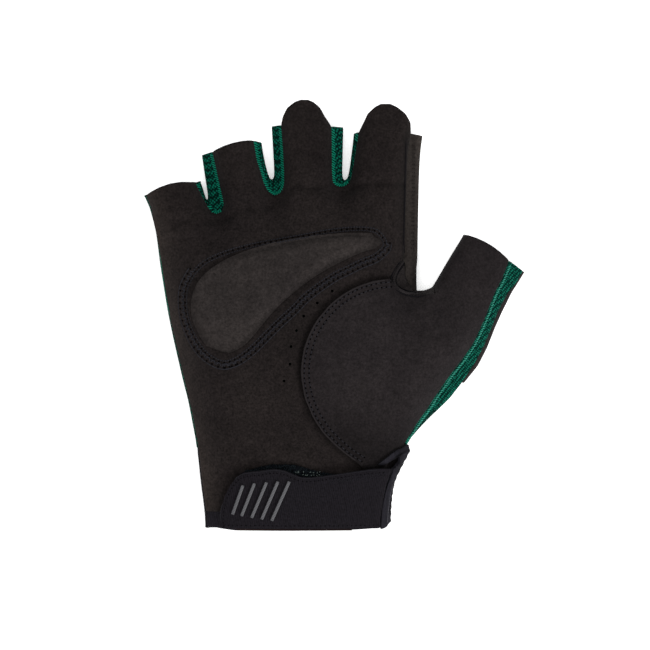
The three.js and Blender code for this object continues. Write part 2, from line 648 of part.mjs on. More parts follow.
// Back of the cuff, wrapping both sides of the wrist
const cuffBack = newSheet(cuffWall);
const cuffRows = table("atY rightX", [[0.6, 31], [8, 31.2], [16, 31.6], [23, 33.4], [31.7, 37]]);
const cuffShares = [0.1, 0.3, 0.5, 0.7, 0.9];
cuffRows.forEach((row, j) => {
  const y = j === cuffRows.length - 1 ? backLow - seamGap : row.atY;
  const rim = sideRim(y) - (hemWall - palmWall);
  wrapHeights.forEach((share, n) => {
    put(cuffBack, named(n, j), littleEdge(y) + wrapInsets[n], y, rim * share);
    const across = [29.2, row.rightX, row.rightX - 1.1, row.rightX - 4.2][n];
    const rightRim = rim - 0.3;
    put(cuffBack, named(12 - n, j), n ? across : Math.min(across, row.rightX - 1.4), y, rightRim * share);
  });
  cuffShares.forEach((share, n) => {
    const x = mix(littleEdge(y) + 4.2, row.rightX - 4.2, share);
    put(cuffBack, named(4 + n, j), x, y, 0);
  });
});
fill(cuffBack, 0, 12, 0, cuffRows.length - 1, true);
thicken(cuffBack);

// A slab with its own top and bottom heights
function slab(iCount, jCount, place) {
  const sheet = newSheet(0);
  for (let i = 0; i <= iCount; i += 1) {
    for (let j = 0; j <= jCount; j += 1) {
      const { x, y, top, bottom } = place(i, j);
      put(sheet, named(i, j), x, y, top);
      sheet.inner.set(named(i, j), new THREE.Vector3(x, y, bottom));
    }
  }
  fill(sheet, 0, iCount, 0, jCount);
  return sheet;
}

// Gel pad over the heel of the hand, each row with its upper and its lower edge
const padRows = table("upperX upperY lowerX lowerY", [
  [-37.2, 72.5, -30.5, 69.4], [-41.5, 79.3, -24.6, 71.6], [-43.4, 86, -19.5, 77.2],
  [-43, 93.5, -14.6, 83.4], [-38.2, 100.4, -9, 89.2], [-28.5, 105.6, -2.6, 94.7],
  [-15.5, 109.6, 4.4, 99.9], [-1.5, 112.2, 12.2, 104.2], [11.5, 113.8, 20.4, 108.1],
  [21.5, 114.1, 26.2, 110.8], [25.6, 113.5, 27.4, 112.1],
]);
const padAcross = [0, 0.08, 0.26, 0.5, 0.74, 0.92, 1];
const padHeights = [0.2, 0.72, 1, 1, 1, 0.72, 0.2];
const padEnds = [0.3, 0.85, 1, 1, 1, 1, 1, 1, 0.95, 0.75, 0.3];
const pad = slab(padAcross.length - 1, padRows.length - 1, (i, j) => {
  const x = mix(padRows[j].upperX, padRows[j].lowerX, padAcross[i]);
  const y = mix(padRows[j].upperY, padRows[j].lowerY, padAcross[i]);
  const bottom = palmHeight(x, y) + seamGap;
  return { x, y, bottom, top: bottom + padRise * padHeights[i] * padEnds[j] };
});

// Wrist strap: its left end is shaped, and its right end is the fold
const strapEnds = table("share leftX rightX", [
  [0, -33.6, 28.5], [0.15, -33.7, 28.8], [0.35, -33, 29.5], [0.55, -31.8, 30.3],
  [0.75, -29.6, 31.4], [0.9, -27.2, 32.6], [1, -23.8, 33.6],
]);
const strapHead = table("atX atY", [
  [-24, 22.9], [-18.1, 23.5], [-12.7, 24.3], [-8.5, 23.8], [-5, 22.3], [-2, 21.1], [1.6, 20.9],
  [10.6, 22], [22.5, 23.8], [27.3, 24.4], [34, 24.2],
]);
const strapFoot = (0.9 * palmLength) / 100;
const strapLift = lift + seamGap;
const strapAcross = [0, 0.03, 0.08, 0.14, 0.2, 0.27, 0.33, 0.38, 0.43, 0.49, 0.55, 0.63, 0.72, 0.8, 0.87, 0.93, 0.97, 1];
const strapLast = strapAcross.length - 1;
const strapPlace = (i, j) => {
  const row = strapEnds[j];
  const x = mix(row.leftX, row.rightX, strapAcross[i]);
  const headX = mix(strapEnds[6].leftX, strapEnds[6].rightX, strapAcross[i]);
  const y = mix(strapFoot, reading(strapHead, "atX", "atY", headX), row.share);
  return { x, y };
};
const strapBottom = (x, y) => palmHeight(Math.min(x, palmSeam(0) - 6), y) + strapLift;
const strapDroop = [0, 0, 0.4, 1.1];
const strap = slab(strapLast, strapEnds.length - 1, (i, j) => {
  const { x, y } = strapPlace(i, j);
  const droop = strapDroop[Math.max(0, i - strapLast + 3)] || 0;
  const bottom = strapBottom(x, y) - droop;
  const thin = i === 0 || i === strapLast || j === 0 || j === strapEnds.length - 1 ? 0.72 : 1;
  return { x, y, bottom, top: bottom + strapWall * thin };
});

// Loop fabric between the palm and the strap
const loopHead = table("atX atY", [
  [-27, 21], [-23.8, 23.2], [-18, 25], [-13.3, 25.9], [-5, 25.9], [-1.4, 25], [4.6, 22.9], [11, 22.2],
]);
const loopFoot = (3.2 * palmLength) / 100;
const loopRows = [0, 0.33, 0.67, 1];
const loop = slab(loopHead.length - 1, loopRows.length - 1, (i, j) => {
  const x = loopHead[i].atX;
  const y = mix(loopFoot, loopHead[i].atY, loopRows[j]);
  const bottom = palmHeight(x, y) + seamGap;
  return { x, y, bottom, top: bottom + loopWall };
});

// Grip bars on the strap's left end, from foot to head
const bars = table("footX footY headX headY", [
  [-28.5, 6.5, -24.4, 17.9], [-25, 5.9, -19.9, 18.7], [-21.1, 5.2, -15.2, 19.1],
  [-17.2, 4.6, -10.8, 19.4], [-13.3, 4.1, -6.4, 19.4],
]).map((bar) => slab(1, 4, (i, j) => {
  const long = Math.hypot(bar.headX - bar.footX, bar.headY - bar.footY);
  const side = (i - 0.5) * barWidth;
  const x = mix(bar.footX, bar.headX, j / 4) + (side * (bar.headY - bar.footY)) / long;
  const y = mix(bar.footY, bar.headY, j / 4) - (side * (bar.headX - bar.footX)) / long;
  const bottom = strapBottom(x, y) + strapWall + seamGap;
  return { x, y, bottom, top: bottom + barRise };
}));

// Bound tab beside the strap's fold, flared at its top, with an open slit in the flare
const tabRows = table("leftX leftY midX midY edgeX edgeY", [
  [29.3, 1.5, 31.6, 1.6, 33.2, 3.2], [29.6, 8, 31.8, 8, 33.4, 9], [31, 15, 32.8, 15, 33.9, 15],
  [32.6, 19.6, 34.2, 19.6, 35, 19.8], [33.6, 22, 35.4, 22.6, 37, 23.6], [34.4, 24.2, 36.8, 26.4, 39, 27.6],
  [30.4, 25.6, 36.4, 28.9, 40.7, 30.8], [27.8, 25.7, 35.4, 31.4, 40.5, 33.2],
]);
const deep = (high) => (high * bodyDepth) / 19;
const tabHigh = [12.4, 12.8, 13.4, 14, 14.4, 14.8, 16.6, 17.2].map(deep);
const tabMid = [11.2, 11.6, 12, 12.4, 12.4, 12.2, 13.6, 14].map(deep);
const tabEdge = [6.6, 7, 7.6, 8, 8.4, 8.8, 9.4, 9.6].map(deep);
const sideTab = newSheet(tabWall);
tabRows.forEach((row, j) => {
  put(sideTab, named(0, j), row.leftX, row.leftY, tabHigh[j]);
  put(sideTab, named(1, j), mix(row.leftX, row.midX, 0.55), mix(row.leftY, row.midY, 0.55), mix(tabHigh[j], tabMid[j], 0.4));
  put(sideTab, named(2, j), row.midX, row.midY, tabMid[j]);
  put(sideTab, named(3, j), row.edgeX, row.edgeY, tabEdge[j]);
  if (j < 6) put(sideTab, named(4, j), row.edgeX, row.edgeY, deep(3.4));
});
fill(sideTab, 0, 4, 0, 5);
fill(sideTab, 2, 3, 5, 6);
fill(sideTab, 0, 3, 6, 7);
thicken(sideTab);

// Vents punched through the palm
const vents = table("atX atY", [
  [10.2, 93.2], [4.4, 88.6], [-0.9, 83.5], [-3.7, 77.9], [-5.8, 71.7], [-6.2, 64.9], [-8.5, 58.3],
]);

function solidOf(geometry) {
  const bare = geometry.clone().deleteAttribute("normal").deleteAttribute("uv");
  const merged = mergeVertices(bare, 1e-3);
  const vertProperties = merged.attributes.position.array;
  const triVerts = new Uint32Array(merged.index.array);
  return new wasm.Manifold(new wasm.Mesh({ numProp: 3, vertProperties, triVerts }));
}

function pierced(piece, holes) {
  let solid = solidOf(piece.geometry);
  holes.forEach((hole) => {
    const pin = new THREE.CylinderGeometry(ventRadius, ventRadius, 3 * bodyDepth, 8);
    pin.rotateX(Math.PI / 2).translate(hole.atX, hole.atY, bodyDepth);
    solid = solid.subtract(solidOf(pin));
  });
  const { vertProperties, triVerts } = solid.getMesh();
  const geometry = new THREE.BufferGeometry();
  geometry.setAttribute("position", new THREE.BufferAttribute(Float32Array.from(vertProperties), 3));
  geometry.setIndex(Array.from(triVerts));
  geometry.computeVertexNormals();
  piece.geometry = geometry;
  return piece;
}

const suede = { color: "#262220", roughness: 0.9, metalness: 0 };
const thumbSuede = { color: "#2c2828", roughness: 0.88, metalness: 0 };
const padSuede = { color: "#302c2b", roughness: 0.85, metalness: 0 };
const mesh = { color: "#0b6e50", roughness: 0.75, metalness: 0 };
const gussetSuede = { color: "#34302f", roughness: 0.88, metalness: 0 };
const neoprene = { color: "#1f1d20", roughness: 0.8, metalness: 0 };
const pile = { color: "#121214", roughness: 1, metalness: 0 };
const rubber = { color: "#6a6a70", roughness: 0.55, metalness: 0 };

const pieces = [
  pierced(closedMesh("palm_panel", palm, suede), vents),
  closedMesh("palm_hem", hem, neoprene),
  closedMesh("thumb_panel", thumb, thumbSuede),
  closedMesh("gel_pad", pad, padSuede),
  closedMesh("back_panel", back, mesh),
  closedMesh("fourchette_little_ring", fourchettes[0], mesh),
  closedMesh("fourchette_ring_middle", fourchettes[1], mesh),
  closedMesh("fourchette_middle_index", fourchettes[2], mesh),
  closedMesh("index_gusset", gusset, gussetSuede),
  closedMesh("crotch_wedge", wedge, gussetSuede),
  closedMesh("thumb_side_strip", strip, mesh),
  closedMesh("thumb_back_panel", thumbBack, thumbSuede),
  closedMesh("cuff_back", cuffBack, neoprene),
  closedMesh("cuff_side_tab", sideTab, neoprene),
  closedMesh("loop_patch", loop, pile),
  closedMesh("wrist_strap", strap, neoprene),
];
bars.forEach((bar, n) => pieces.push(closedMesh("grip_bar_" + (n + 1), bar, rubber)));

const group = new THREE.Group();
const whole = new THREE.Box3();
pieces.forEach((piece) => {
  group.add(piece);
  whole.expandByObject(piece);
});
const middle = whole.getCenter(new THREE.Vector3());
pieces.forEach((piece) => piece.geometry.translate(-middle.x, -middle.y, -whole.min.z));

export default group;
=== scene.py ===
# A right-hand fingerless cycling glove, lying palm up
import math
import random

import bpy
from mathutils import Matrix, Vector
from mathutils.bvhtree import BVHTree
from mathutils.kdtree import KDTree


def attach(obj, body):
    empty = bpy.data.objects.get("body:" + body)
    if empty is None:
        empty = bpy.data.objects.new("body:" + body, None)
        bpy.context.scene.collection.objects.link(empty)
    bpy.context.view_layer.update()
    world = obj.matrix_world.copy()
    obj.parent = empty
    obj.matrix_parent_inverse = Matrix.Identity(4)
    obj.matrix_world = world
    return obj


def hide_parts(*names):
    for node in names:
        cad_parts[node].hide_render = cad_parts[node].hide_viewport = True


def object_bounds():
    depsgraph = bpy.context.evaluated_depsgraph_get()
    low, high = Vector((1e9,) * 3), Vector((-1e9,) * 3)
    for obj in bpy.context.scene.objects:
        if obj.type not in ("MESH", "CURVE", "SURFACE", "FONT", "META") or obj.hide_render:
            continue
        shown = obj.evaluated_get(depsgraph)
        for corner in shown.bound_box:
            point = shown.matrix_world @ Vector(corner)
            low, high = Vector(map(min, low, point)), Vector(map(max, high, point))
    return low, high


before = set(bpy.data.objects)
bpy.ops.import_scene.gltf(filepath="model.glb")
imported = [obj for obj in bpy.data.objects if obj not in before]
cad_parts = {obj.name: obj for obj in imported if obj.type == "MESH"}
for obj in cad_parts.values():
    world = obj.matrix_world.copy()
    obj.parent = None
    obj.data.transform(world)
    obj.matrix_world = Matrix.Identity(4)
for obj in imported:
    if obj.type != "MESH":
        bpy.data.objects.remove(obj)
cadLow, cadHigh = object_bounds()
random.seed(7)
mm = 0.001

# The plan is read in millimetres from the middle finger's axis and the foot of the hem
plan = {
    "axisFromLeft": 63.6,  # the middle finger's axis, from the outline's left end
    "hemRise": 0.2,  # the hem's ends, above its lowest point
}
originX = cadLow.x + plan["axisFromLeft"] * mm
originY = cadLow.y + plan["hemRise"] * mm


def onPlan(x, y, z=0):
    return Vector((originX + x * mm, originY + y * mm, z * mm))


# Camera straight above, lamps and paper
view = {
    "middleX": 7.4,  # what the middle of the photograph looks at
    "middleY": 80.0,
    "width": 253.5,  # breadth that the photograph takes in
    "distance": 1.6,
    "focusHeight": 10,
    "sensor": 36,
}
aim = onPlan(view["middleX"], view["middleY"])
bpy.ops.object.camera_add(location=(aim.x, aim.y, view["distance"] + view["focusHeight"] * mm))
camera = bpy.context.object
camera.name = "overhead_camera"
camera.data.sensor_width = view["sensor"]
camera.data.lens = view["sensor"] * view["distance"] / (view["width"] * mm)
camera.data.clip_end = 20
bpy.context.scene.camera = camera
bpy.context.scene.view_settings.view_transform = "Standard"

studio = {
    "floorSize": 6,
    "floorDrop": 0.0002,
    "paper": (0.95, 0.95, 0.95),
    "paperGlow": 0.35,  # keeps the ground white close to the glove
    "skyStrength": 0.8,
    "lamps": {
        # name: size, strength in watts, place relative to the middle of the glove
        "softTop": (1.8, 22, (-0.1, 0.2, 1.7)),
        "keyLow": (0.5, 16, (0.75, -0.9, 0.9)),
    },
}
bpy.ops.mesh.primitive_plane_add(size=studio["floorSize"], location=(0, 0, -studio["floorDrop"]))
floor = bpy.context.object
floor.name = "paper_floor"

for name, (size, strength, place) in studio["lamps"].items():
    bpy.ops.object.light_add(type="AREA", location=place)
    lamp = bpy.context.object
    lamp.name = name
    lamp.data.size = size
    lamp.data.energy = strength
    lamp.rotation_euler = (-Vector(place)).to_track_quat("-Z", "Y").to_euler()

world = bpy.data.worlds.new("studio")
bpy.context.scene.world = world
world.use_nodes = True
sky = world.node_tree.nodes["Background"]
sky.inputs["Color"].default_value = (1, 1, 1, 1)
sky.inputs["Strength"].default_value = studio["skyStrength"]
print("stage and camera are set")


# Finishes
def newFinish(name, colour, rough, gloss=0.03):
    finish = bpy.data.materials.new(name)
    finish.use_nodes = True
    shader = finish.node_tree.nodes["Principled BSDF"]
    shader.inputs["Base Color"].default_value = (*colour, 1)
    shader.inputs["Roughness"].default_value = rough
    shader.inputs["Specular IOR Level"].default_value = gloss
    return finish, finish.node_tree.nodes, finish.node_tree.links, shader


def objectPlaces(nodes, links, turn=(0, 0, 0)):
    places = nodes.new("ShaderNodeTexCoord")
    mapping = nodes.new("ShaderNodeMapping")
    mapping.inputs["Rotation"].default_value = turn
    links.new(places.outputs["Object"], mapping.inputs["Vector"])
    return mapping.outputs["Vector"]


def noiseAt(nodes, links, places, scale, detail, rough):
    noise = nodes.new("ShaderNodeTexNoise")
    noise.inputs["Scale"].default_value = scale
    noise.inputs["Detail"].default_value = detail
    noise.inputs["Roughness"].default_value = rough
    links.new(places, noise.inputs["Vector"])
    return noise.outputs["Fac"]


def wavesAt(nodes, links, places, scale, distortion):
    waves = nodes.new("ShaderNodeTexWave")
    waves.inputs["Scale"].default_value = scale
    waves.inputs["Distortion"].default_value = distortion
    waves.inputs["Detail"].default_value = 1
    links.new(places, waves.inputs["Vector"])
    return waves.outputs["Fac"]


def rampOf(nodes, links, value, low, high, lowAt=0.3, highAt=0.7):
    ramp = nodes.new("ShaderNodeValToRGB")
    ramp.color_ramp.elements[0].position = lowAt
    ramp.color_ramp.elements[0].color = (*low, 1)
    ramp.color_ramp.elements[1].position = highAt
    ramp.color_ramp.elements[1].color = (*high, 1)
    links.new(value, ramp.inputs["Fac"])
    return ramp.outputs["Color"]


def mixed(nodes, links, first, second, share=1, blend="MULTIPLY"):
    mix = nodes.new("ShaderNodeMix")
    mix.data_type = "RGBA"
    mix.blend_type = blend
    mix.inputs[0].default_value = share
    links.new(first, mix.inputs[6])
    links.new(second, mix.inputs[7])
    return mix.outputs[2]


def bumped(nodes, links, shader, height, strength, depth):
    bump = nodes.new("ShaderNodeBump")
    bump.inputs["Strength"].default_value = strength
    bump.inputs["Distance"].default_value = depth
    links.new(height, bump.inputs["Height"])
    links.new(bump.outputs["Normal"], shader.inputs["Normal"])


def shade(colour, share):
    return tuple(min(1, part * share) for part in colour)


# the colour layer that carries painted shade and painted highlights
paintedLightLayer = "painted_light_and_tone"


def coloured(nodes, links, shader, cloth, withPaintedLight=False):
    if withPaintedLight:
        # painted shade and painted highlights come on the piece's own colour layer
        paint = nodes.new("ShaderNodeAttribute")
        paint.attribute_name = paintedLightLayer
        cloth = mixed(nodes, links, cloth, paint.outputs["Color"])
    links.new(cloth, shader.inputs["Base Color"])


def suedeFinish(name, colour, grain=1150, contrast=0.45, patch=45, sheen=0.02, withPaintedLight=False):
    finish, nodes, links, shader = newFinish(name, colour, 0.95)
    places = objectPlaces(nodes, links)
    fine = noiseAt(nodes, links, places, grain, 4, 0.75)
    naps = rampOf(nodes, links, fine, shade(colour, 1 - contrast), shade(colour, 1 + contrast), 0.32, 0.68)
    broad = noiseAt(nodes, links, places, patch, 4, 0.6)
    drift = rampOf(nodes, links, broad, (0.84, 0.83, 0.84), (1.16, 1.15, 1.13), 0.34, 0.66)
    tufts = noiseAt(nodes, links, places, grain * 0.33, 3, 0.6)
    rough = rampOf(nodes, links, tufts, (0.86,) * 3, (1.14,) * 3, 0.34, 0.66)
    cloth = mixed(nodes, links, mixed(nodes, links, naps, drift), rough)
    coloured(nodes, links, shader, cloth, withPaintedLight)
    bumped(nodes, links, shader, fine, 0.5, 0.0002)
    shader.inputs["Sheen Weight"].default_value = sheen
    shader.inputs["Sheen Roughness"].default_value = 0.5
    return finish


def knitFinish(name, thread, hole, pitch):
    finish, nodes, links, shader = newFinish(name, thread, 0.8, 0.02)
    places = objectPlaces(nodes, links, (0.35, 0.5, 0.785))
    cells = nodes.new("ShaderNodeTexVoronoi")
    cells.inputs["Scale"].default_value = 1 / pitch
    cells.inputs["Randomness"].default_value = 0.28
    links.new(places, cells.inputs["Vector"])
    weave = rampOf(nodes, links, cells.outputs["Distance"], thread, hole, 0.2, 0.55)
    broad = noiseAt(nodes, links, places, 300, 3, 0.6)
    drift = rampOf(nodes, links, broad, (0.82, 0.88, 0.88), (1.22, 1.14, 1.14))
    coloured(nodes, links, shader, mixed(nodes, links, weave, drift))
    bumped(nodes, links, shader, cells.outputs["Distance"], 0.5, 0.0003)
    return finish


def jerseyFinish(name, colour, pitch=0.0007, contrast=0.25, withPaintedLight=False):
    finish, nodes, links, shader = newFinish(name, colour, 0.9, 0.04)
    ribs = wavesAt(nodes, links, objectPlaces(nodes, links, (0, 0, 0.15)), 1 / pitch / 3.14, 2.5)
    fine = noiseAt(nodes, links, objectPlaces(nodes, links), 1200, 3, 0.7)
    jersey = mixed(nodes, links, ribs, fine, 0.78, "MIX")
    cloth = rampOf(nodes, links, jersey, shade(colour, 1 - contrast), shade(colour, 1 + contrast))
    coloured(nodes, links, shader, cloth, withPaintedLight)
    bumped(nodes, links, shader, jersey, 0.4, 0.0002)
    return finish


def threadFinish(name, colour, gloss=0.2):
    finish, nodes, links, shader = newFinish(name, colour, 0.6, gloss)
    fine = noiseAt(nodes, links, objectPlaces(nodes, links), 3000, 2, 0.5)
    coloured(nodes, links, shader, rampOf(nodes, links, fine, shade(colour, 0.7), shade(colour, 1.3)))
    return finish


def rubberFinish(name, colour):
    finish, nodes, links, shader = newFinish(name, colour, 0.5, 0.3)
    hatch = wavesAt(nodes, links, objectPlaces(nodes, links, (0, 0, 0.9)), 420, 0.5)
    coloured(nodes, links, shader, rampOf(nodes, links, hatch, shade(colour, 0.75), shade(colour, 1.15)))
    bumped(nodes, links, shader, hatch, 0.3, 0.0001)
    return finish


def paperFinish():
    finish, nodes, links, shader = newFinish("paper", studio["paper"], 0.9)
    fine = noiseAt(nodes, links, objectPlaces(nodes, links), 300, 2, 0.5)
    white = studio["paper"]
    coloured(nodes, links, shader, rampOf(nodes, links, fine, shade(white, 0.99), white))
    shader.inputs["Emission Color"].default_value = (1, 1, 1, 1)
    shader.inputs["Emission Strength"].default_value = studio["paperGlow"]
    return finish


finishes = {
    "palm": suedeFinish("palm_suede", (0.0088, 0.0070, 0.0068), contrast=0.56, withPaintedLight=True),
    "thumb": suedeFinish("thumb_suede", (0.0098, 0.0082, 0.0085), contrast=0.42, withPaintedLight=True),
    "pad": suedeFinish("pad_suede", (0.0158, 0.0134, 0.0129), grain=1100, contrast=0.42, withPaintedLight=True),
    "gusset": suedeFinish("gusset_suede", (0.0165, 0.0140, 0.0132), contrast=0.45, withPaintedLight=True),
    "mesh": knitFinish("green_mesh", (0.0015, 0.078, 0.049), (0.0001, 0.005, 0.0038), 0.0010),
    "stripMesh": knitFinish("strip_mesh", (0.0048, 0.097, 0.063), (0.0001, 0.0085, 0.0062), 0.0008),
    "neoprene": jerseyFinish("neoprene", (0.0060, 0.0052, 0.0066), contrast=0.5),
    "hem": jerseyFinish("hem_jersey", (0.0076, 0.0067, 0.0088), contrast=0.5),
    "binding": jerseyFinish("binding", (0.0108, 0.0102, 0.0132), 0.0005, 0.4, True),
    "pile": suedeFinish("loop_pile", (0.0014, 0.0018, 0.0025), grain=900, contrast=0.9, sheen=0.0),
    "rubber": rubberFinish("grip_rubber", (0.043, 0.043, 0.047)),
    "paleThread": threadFinish("pale_thread", (0.0125, 0.0122, 0.0148), 0.03),
    "tabThread": threadFinish("tab_thread", (0.031, 0.030, 0.036), 0.05),
    "glintThread": threadFinish("glint_thread", (0.060, 0.075, 0.070), 0.05),
    "pileThread": threadFinish("pile_thread", (0.0028, 0.0046, 0.0060), 0.05),
    "jerseyThread": threadFinish("jersey_thread", (0.0082, 0.0076, 0.0095), 0.03),
    "darkThread": threadFinish("dark_thread", (0.0030, 0.0026, 0.0033), 0.03),
    "greenThread": threadFinish("green_thread", (0.0015, 0.115, 0.070), 0.05),
    "lightGreenThread": threadFinish("light_green_thread", (0.030, 0.200, 0.145), 0.05),
    "needleHole": threadFinish("needle_hole", (0.0015, 0.0013, 0.0015), 0.0),
    "cutEdge": threadFinish("cut_edge", (0.0120, 0.0103, 0.0108), 0.03),
    "brownEdge": threadFinish("brown_edge", (0.020, 0.012, 0.011), 0.03),
}
floor.data.materials.append(paperFinish())
print("finishes are mixed")


# Cloth panels start from the frame's own sheets
def onlyActive(piece):
    bpy.ops.object.select_all(action="DESELECT")
    piece.select_set(True)
    bpy.context.view_layer.objects.active = piece


def applied(piece, kind, **settings):
    onlyActive(piece)
    modifier = piece.modifiers.new(kind.lower(), kind)
    for key, value in settings.items():
        setattr(modifier, key, value)
    bpy.ops.object.modifier_apply(modifier=modifier.name)


def panelFrom(node, name, finish, rounds=2, crease=0.75):
    piece = bpy.data.objects.new(name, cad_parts[node].data.copy())
    bpy.context.scene.collection.objects.link(piece)
    piece.data.materials.clear()
    piece.data.materials.append(finishes[finish])
    onlyActive(piece)
    bpy.ops.object.mode_set(mode="EDIT")
    bpy.ops.mesh.select_all(action="SELECT")
    bpy.ops.mesh.remove_doubles(threshold=0.00001)
    bpy.ops.mesh.tris_convert_to_quads(face_threshold=math.radians(50), shape_threshold=math.radians(80))
    bpy.ops.mesh.select_all(action="DESELECT")
    bpy.ops.mesh.edges_select_sharp(sharpness=math.radians(52))
    bpy.ops.transform.edge_crease(value=crease)
    bpy.ops.object.mode_set(mode="OBJECT")
    applied(piece, "SUBSURF", levels=rounds, render_levels=rounds)
    bpy.ops.object.shade_smooth()
    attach(piece, "root")
    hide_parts(node)
    return piece


# Lines on the plan: rounded through their knots, at an even pitch
def rounded(knots, pitch, closed=False):
    count = len(knots)
    fine = []
    for n in range(count if closed else count - 1):
        if closed:
            a, b, c, d = [knots[(n + k - 1) % count] for k in range(4)]
        else:
            a, b, c, d = [knots[min(max(n + k - 1, 0), count - 1)] for k in range(4)]
        for step in range(16):
            t = step / 16
            fine.append(tuple(
                0.5 * (2 * b[k] + (c[k] - a[k]) * t + (2 * a[k] - 5 * b[k] + 4 * c[k] - d[k]) * t ** 2
                       + (3 * b[k] - a[k] - 3 * c[k] + d[k]) * t ** 3)
                for k in range(2)
            ))
    fine.append(knots[0] if closed else knots[-1])
    gone = [0]
    for here, there in zip(fine, fine[1:]):
        gone.append(gone[-1] + math.dist(here, there))
    steps = max(1, round(gone[-1] / pitch))
    points = []
    n = 0
    for step in range(steps if closed else steps + 1):
        want = gone[-1] * step / steps
        while n < len(gone) - 2 and gone[n + 1] < want:
            n += 1
        share = (want - gone[n]) / max(gone[n + 1] - gone[n], 1e-9)
        points.append(tuple(fine[n][k] + (fine[n + 1][k] - fine[n][k]) * share for k in range(2)))
    return points


def beside(points, offset, closed=False):
    # the same line, moved to its left
    moved = []
    last = len(points) - 1
    for n, (x, y) in enumerate(points):
        before = points[n - 1] if n or closed else points[0]
        after = points[(n + 1) % len(points)] if n < last or closed else points[last]
        along = Vector((after[0] - before[0], after[1] - before[1])).normalized()
        moved.append((x - along.y * offset, y + along.x * offset))
    return moved


def arc(middle, radius, start, end, count=24):
    return [
        (middle[0] + radius * math.cos(math.radians(start + (end - start) * n / count)),
         middle[1] + radius * math.sin(math.radians(start + (end - start) * n / count)))
        for n in range(count + 1)
    ]


class Nearness:
    # distance on the plan to a line, in millimetres, and which side of it
    def __init__(self, points, closed=False):
        self.points = points
        self.closed = closed
        self.tree = KDTree(len(points))
        for n, (x, y) in enumerate(points):
            self.tree.insert((x, y, 0), n)
        self.tree.balance()

    def share(self, x, y):
        # how far along the line the nearest place is, from 0 to 1
        return self.tree.find((x, y, 0))[1] / len(self.points)

    def of(self, x, y):
        spot, n, distance = self.tree.find((x, y, 0))
        last = len(self.points) - 1
        after = self.points[(n + 1) % len(self.points)] if n < last or self.closed else self.points[last]
        before = self.points[n - 1] if n or self.closed else self.points[0]
        alongX, alongY = after[0] - before[0], after[1] - before[1]
        side = alongX * (y - spot[1]) - alongY * (x - spot[0])
        return distance if side >= 0 else -distance


def bell(distance, width):
    return math.exp(-((distance / width) ** 2))


def smooth(value):
    value = min(1, max(0, value))
    return value * value * (3 - 2 * value)


def band(distance, depth, place, breadth):
    # a soft stripe beside a line
    return depth * bell(distance - place, breadth)


def slope(value, depth, start, run):
    # from nothing at the start to its full depth after the run
    return depth * smooth((value - start) / run)


def linesOf(drawn, pitch):
    return [(Nearness(rounded(knots, pitch)), depth, breadth) for knots, depth, breadth in drawn]


def depthAt(lines, x, y, shift=0.0):
    return sum(depth * bell(line.of(x, y) + shift, breadth) for line, depth, breadth in lines)


def planOf(spot):
    return (spot.x - originX) / mm, (spot.y - originY) / mm


def shifted(piece, move):
    # moves each point of a panel by what its place on the plan asks for, in millimetres
    for point in piece.data.vertices:
        point.co += Vector(move(*planOf(point.co))) * mm


def raised(piece, rise):
    shifted(piece, lambda x, y: (0, 0, rise(x, y)))


def painted(piece, tone):
    layer = piece.data.color_attributes.new(paintedLightLayer, "FLOAT_COLOR", "POINT")
    for n, point in enumerate(piece.data.vertices):
        layer.data[n].color = (*tone(*planOf(point.co)), 1)


def finer(piece, wanted, upright=0.3):
    # one more cut through the upper faces of a panel where small relief runs
    onlyActive(piece)
    for face in piece.data.polygons:
        face.select = wanted(*planOf(face.center)) and face.normal.z > upright
    bpy.ops.object.mode_set(mode="EDIT")
    bpy.ops.mesh.subdivide(number_cuts=1, smoothness=0)
    bpy.ops.object.mode_set(mode="OBJECT")
    bpy.ops.object.shade_smooth()


def treeOf(*pieces):
    ready = bpy.context.evaluated_depsgraph_get()
    return [BVHTree.FromObject(piece, ready) for piece in pieces]


lapShape = {"bite": 0.3, "fade": 0.45}


def lapped(piece, neighbours, reach):
    # draws the edge of a panel to the panels that it is sewn to, so that no light falls through the seam
    trees = treeOf(*neighbours)
    for point in piece.data.vertices:
        spot, distance = None, reach * mm
        for tree in trees:
            hit = tree.find_nearest(point.co, distance)
            if hit[0] is not None and hit[3] < distance:
                spot, distance = hit[0], hit[3]
        if spot is not None and distance > 0:
            share = slope(distance / mm, 1, reach, -lapShape["fade"] * reach)
            point.co += (spot - point.co).normalized() * (distance + lapShape["bite"] * mm) * share


# The lines that the seams and the relief follow
padSeam = [
    (-43.1, 100.7), (-38.2, 105), (-28.9, 108.8), (-17.4, 111.6), (-2.1, 114.3), (8.3, 116.3), (19.3, 117.4),
    (26.4, 116.8), (29.1, 114.9), (30.7, 112.2), (30.2, 109.9), (26.4, 106.7), (22, 105), (15.4, 101.8),
    (9.9, 99), (0.1, 91.9), (-5.4, 86.4), (-10.8, 81.5), (-16.3, 76), (-21.8, 70.6), (-27.3, 66.7),
    (-32.2, 65.4), (-38.2, 68.4), (-42.6, 73.8), (-45.9, 81.5), (-47, 88.1), (-46.4, 94.7),
]
ovalMiddle = (34.2, 61.8)
ovalRadius = 36.3
ovalEdge = arc(ovalMiddle, ovalRadius, 92, 215) + [(7.3, 37), (14.7, 30.1), (20.9, 25.8)]
littleEdge = [
    (-62.4, 131), (-60.4, 122), (-58.7, 111.4), (-57.4, 101.4), (-56.1, 91.8), (-53.9, 81.6), (-51.1, 69.6),
    (-48.4, 57.6), (-46.2, 49.9), (-45.1, 42.9), (-42.9, 32.1), (-42.3, 25), (-41.4, 16.6), (-39.9, 6.5),
]
indexSeam = [(38.7, 106.5), (38.1, 112), (38.3, 122), (38.5, 134), (38.8, 147), (39.1, 154)]
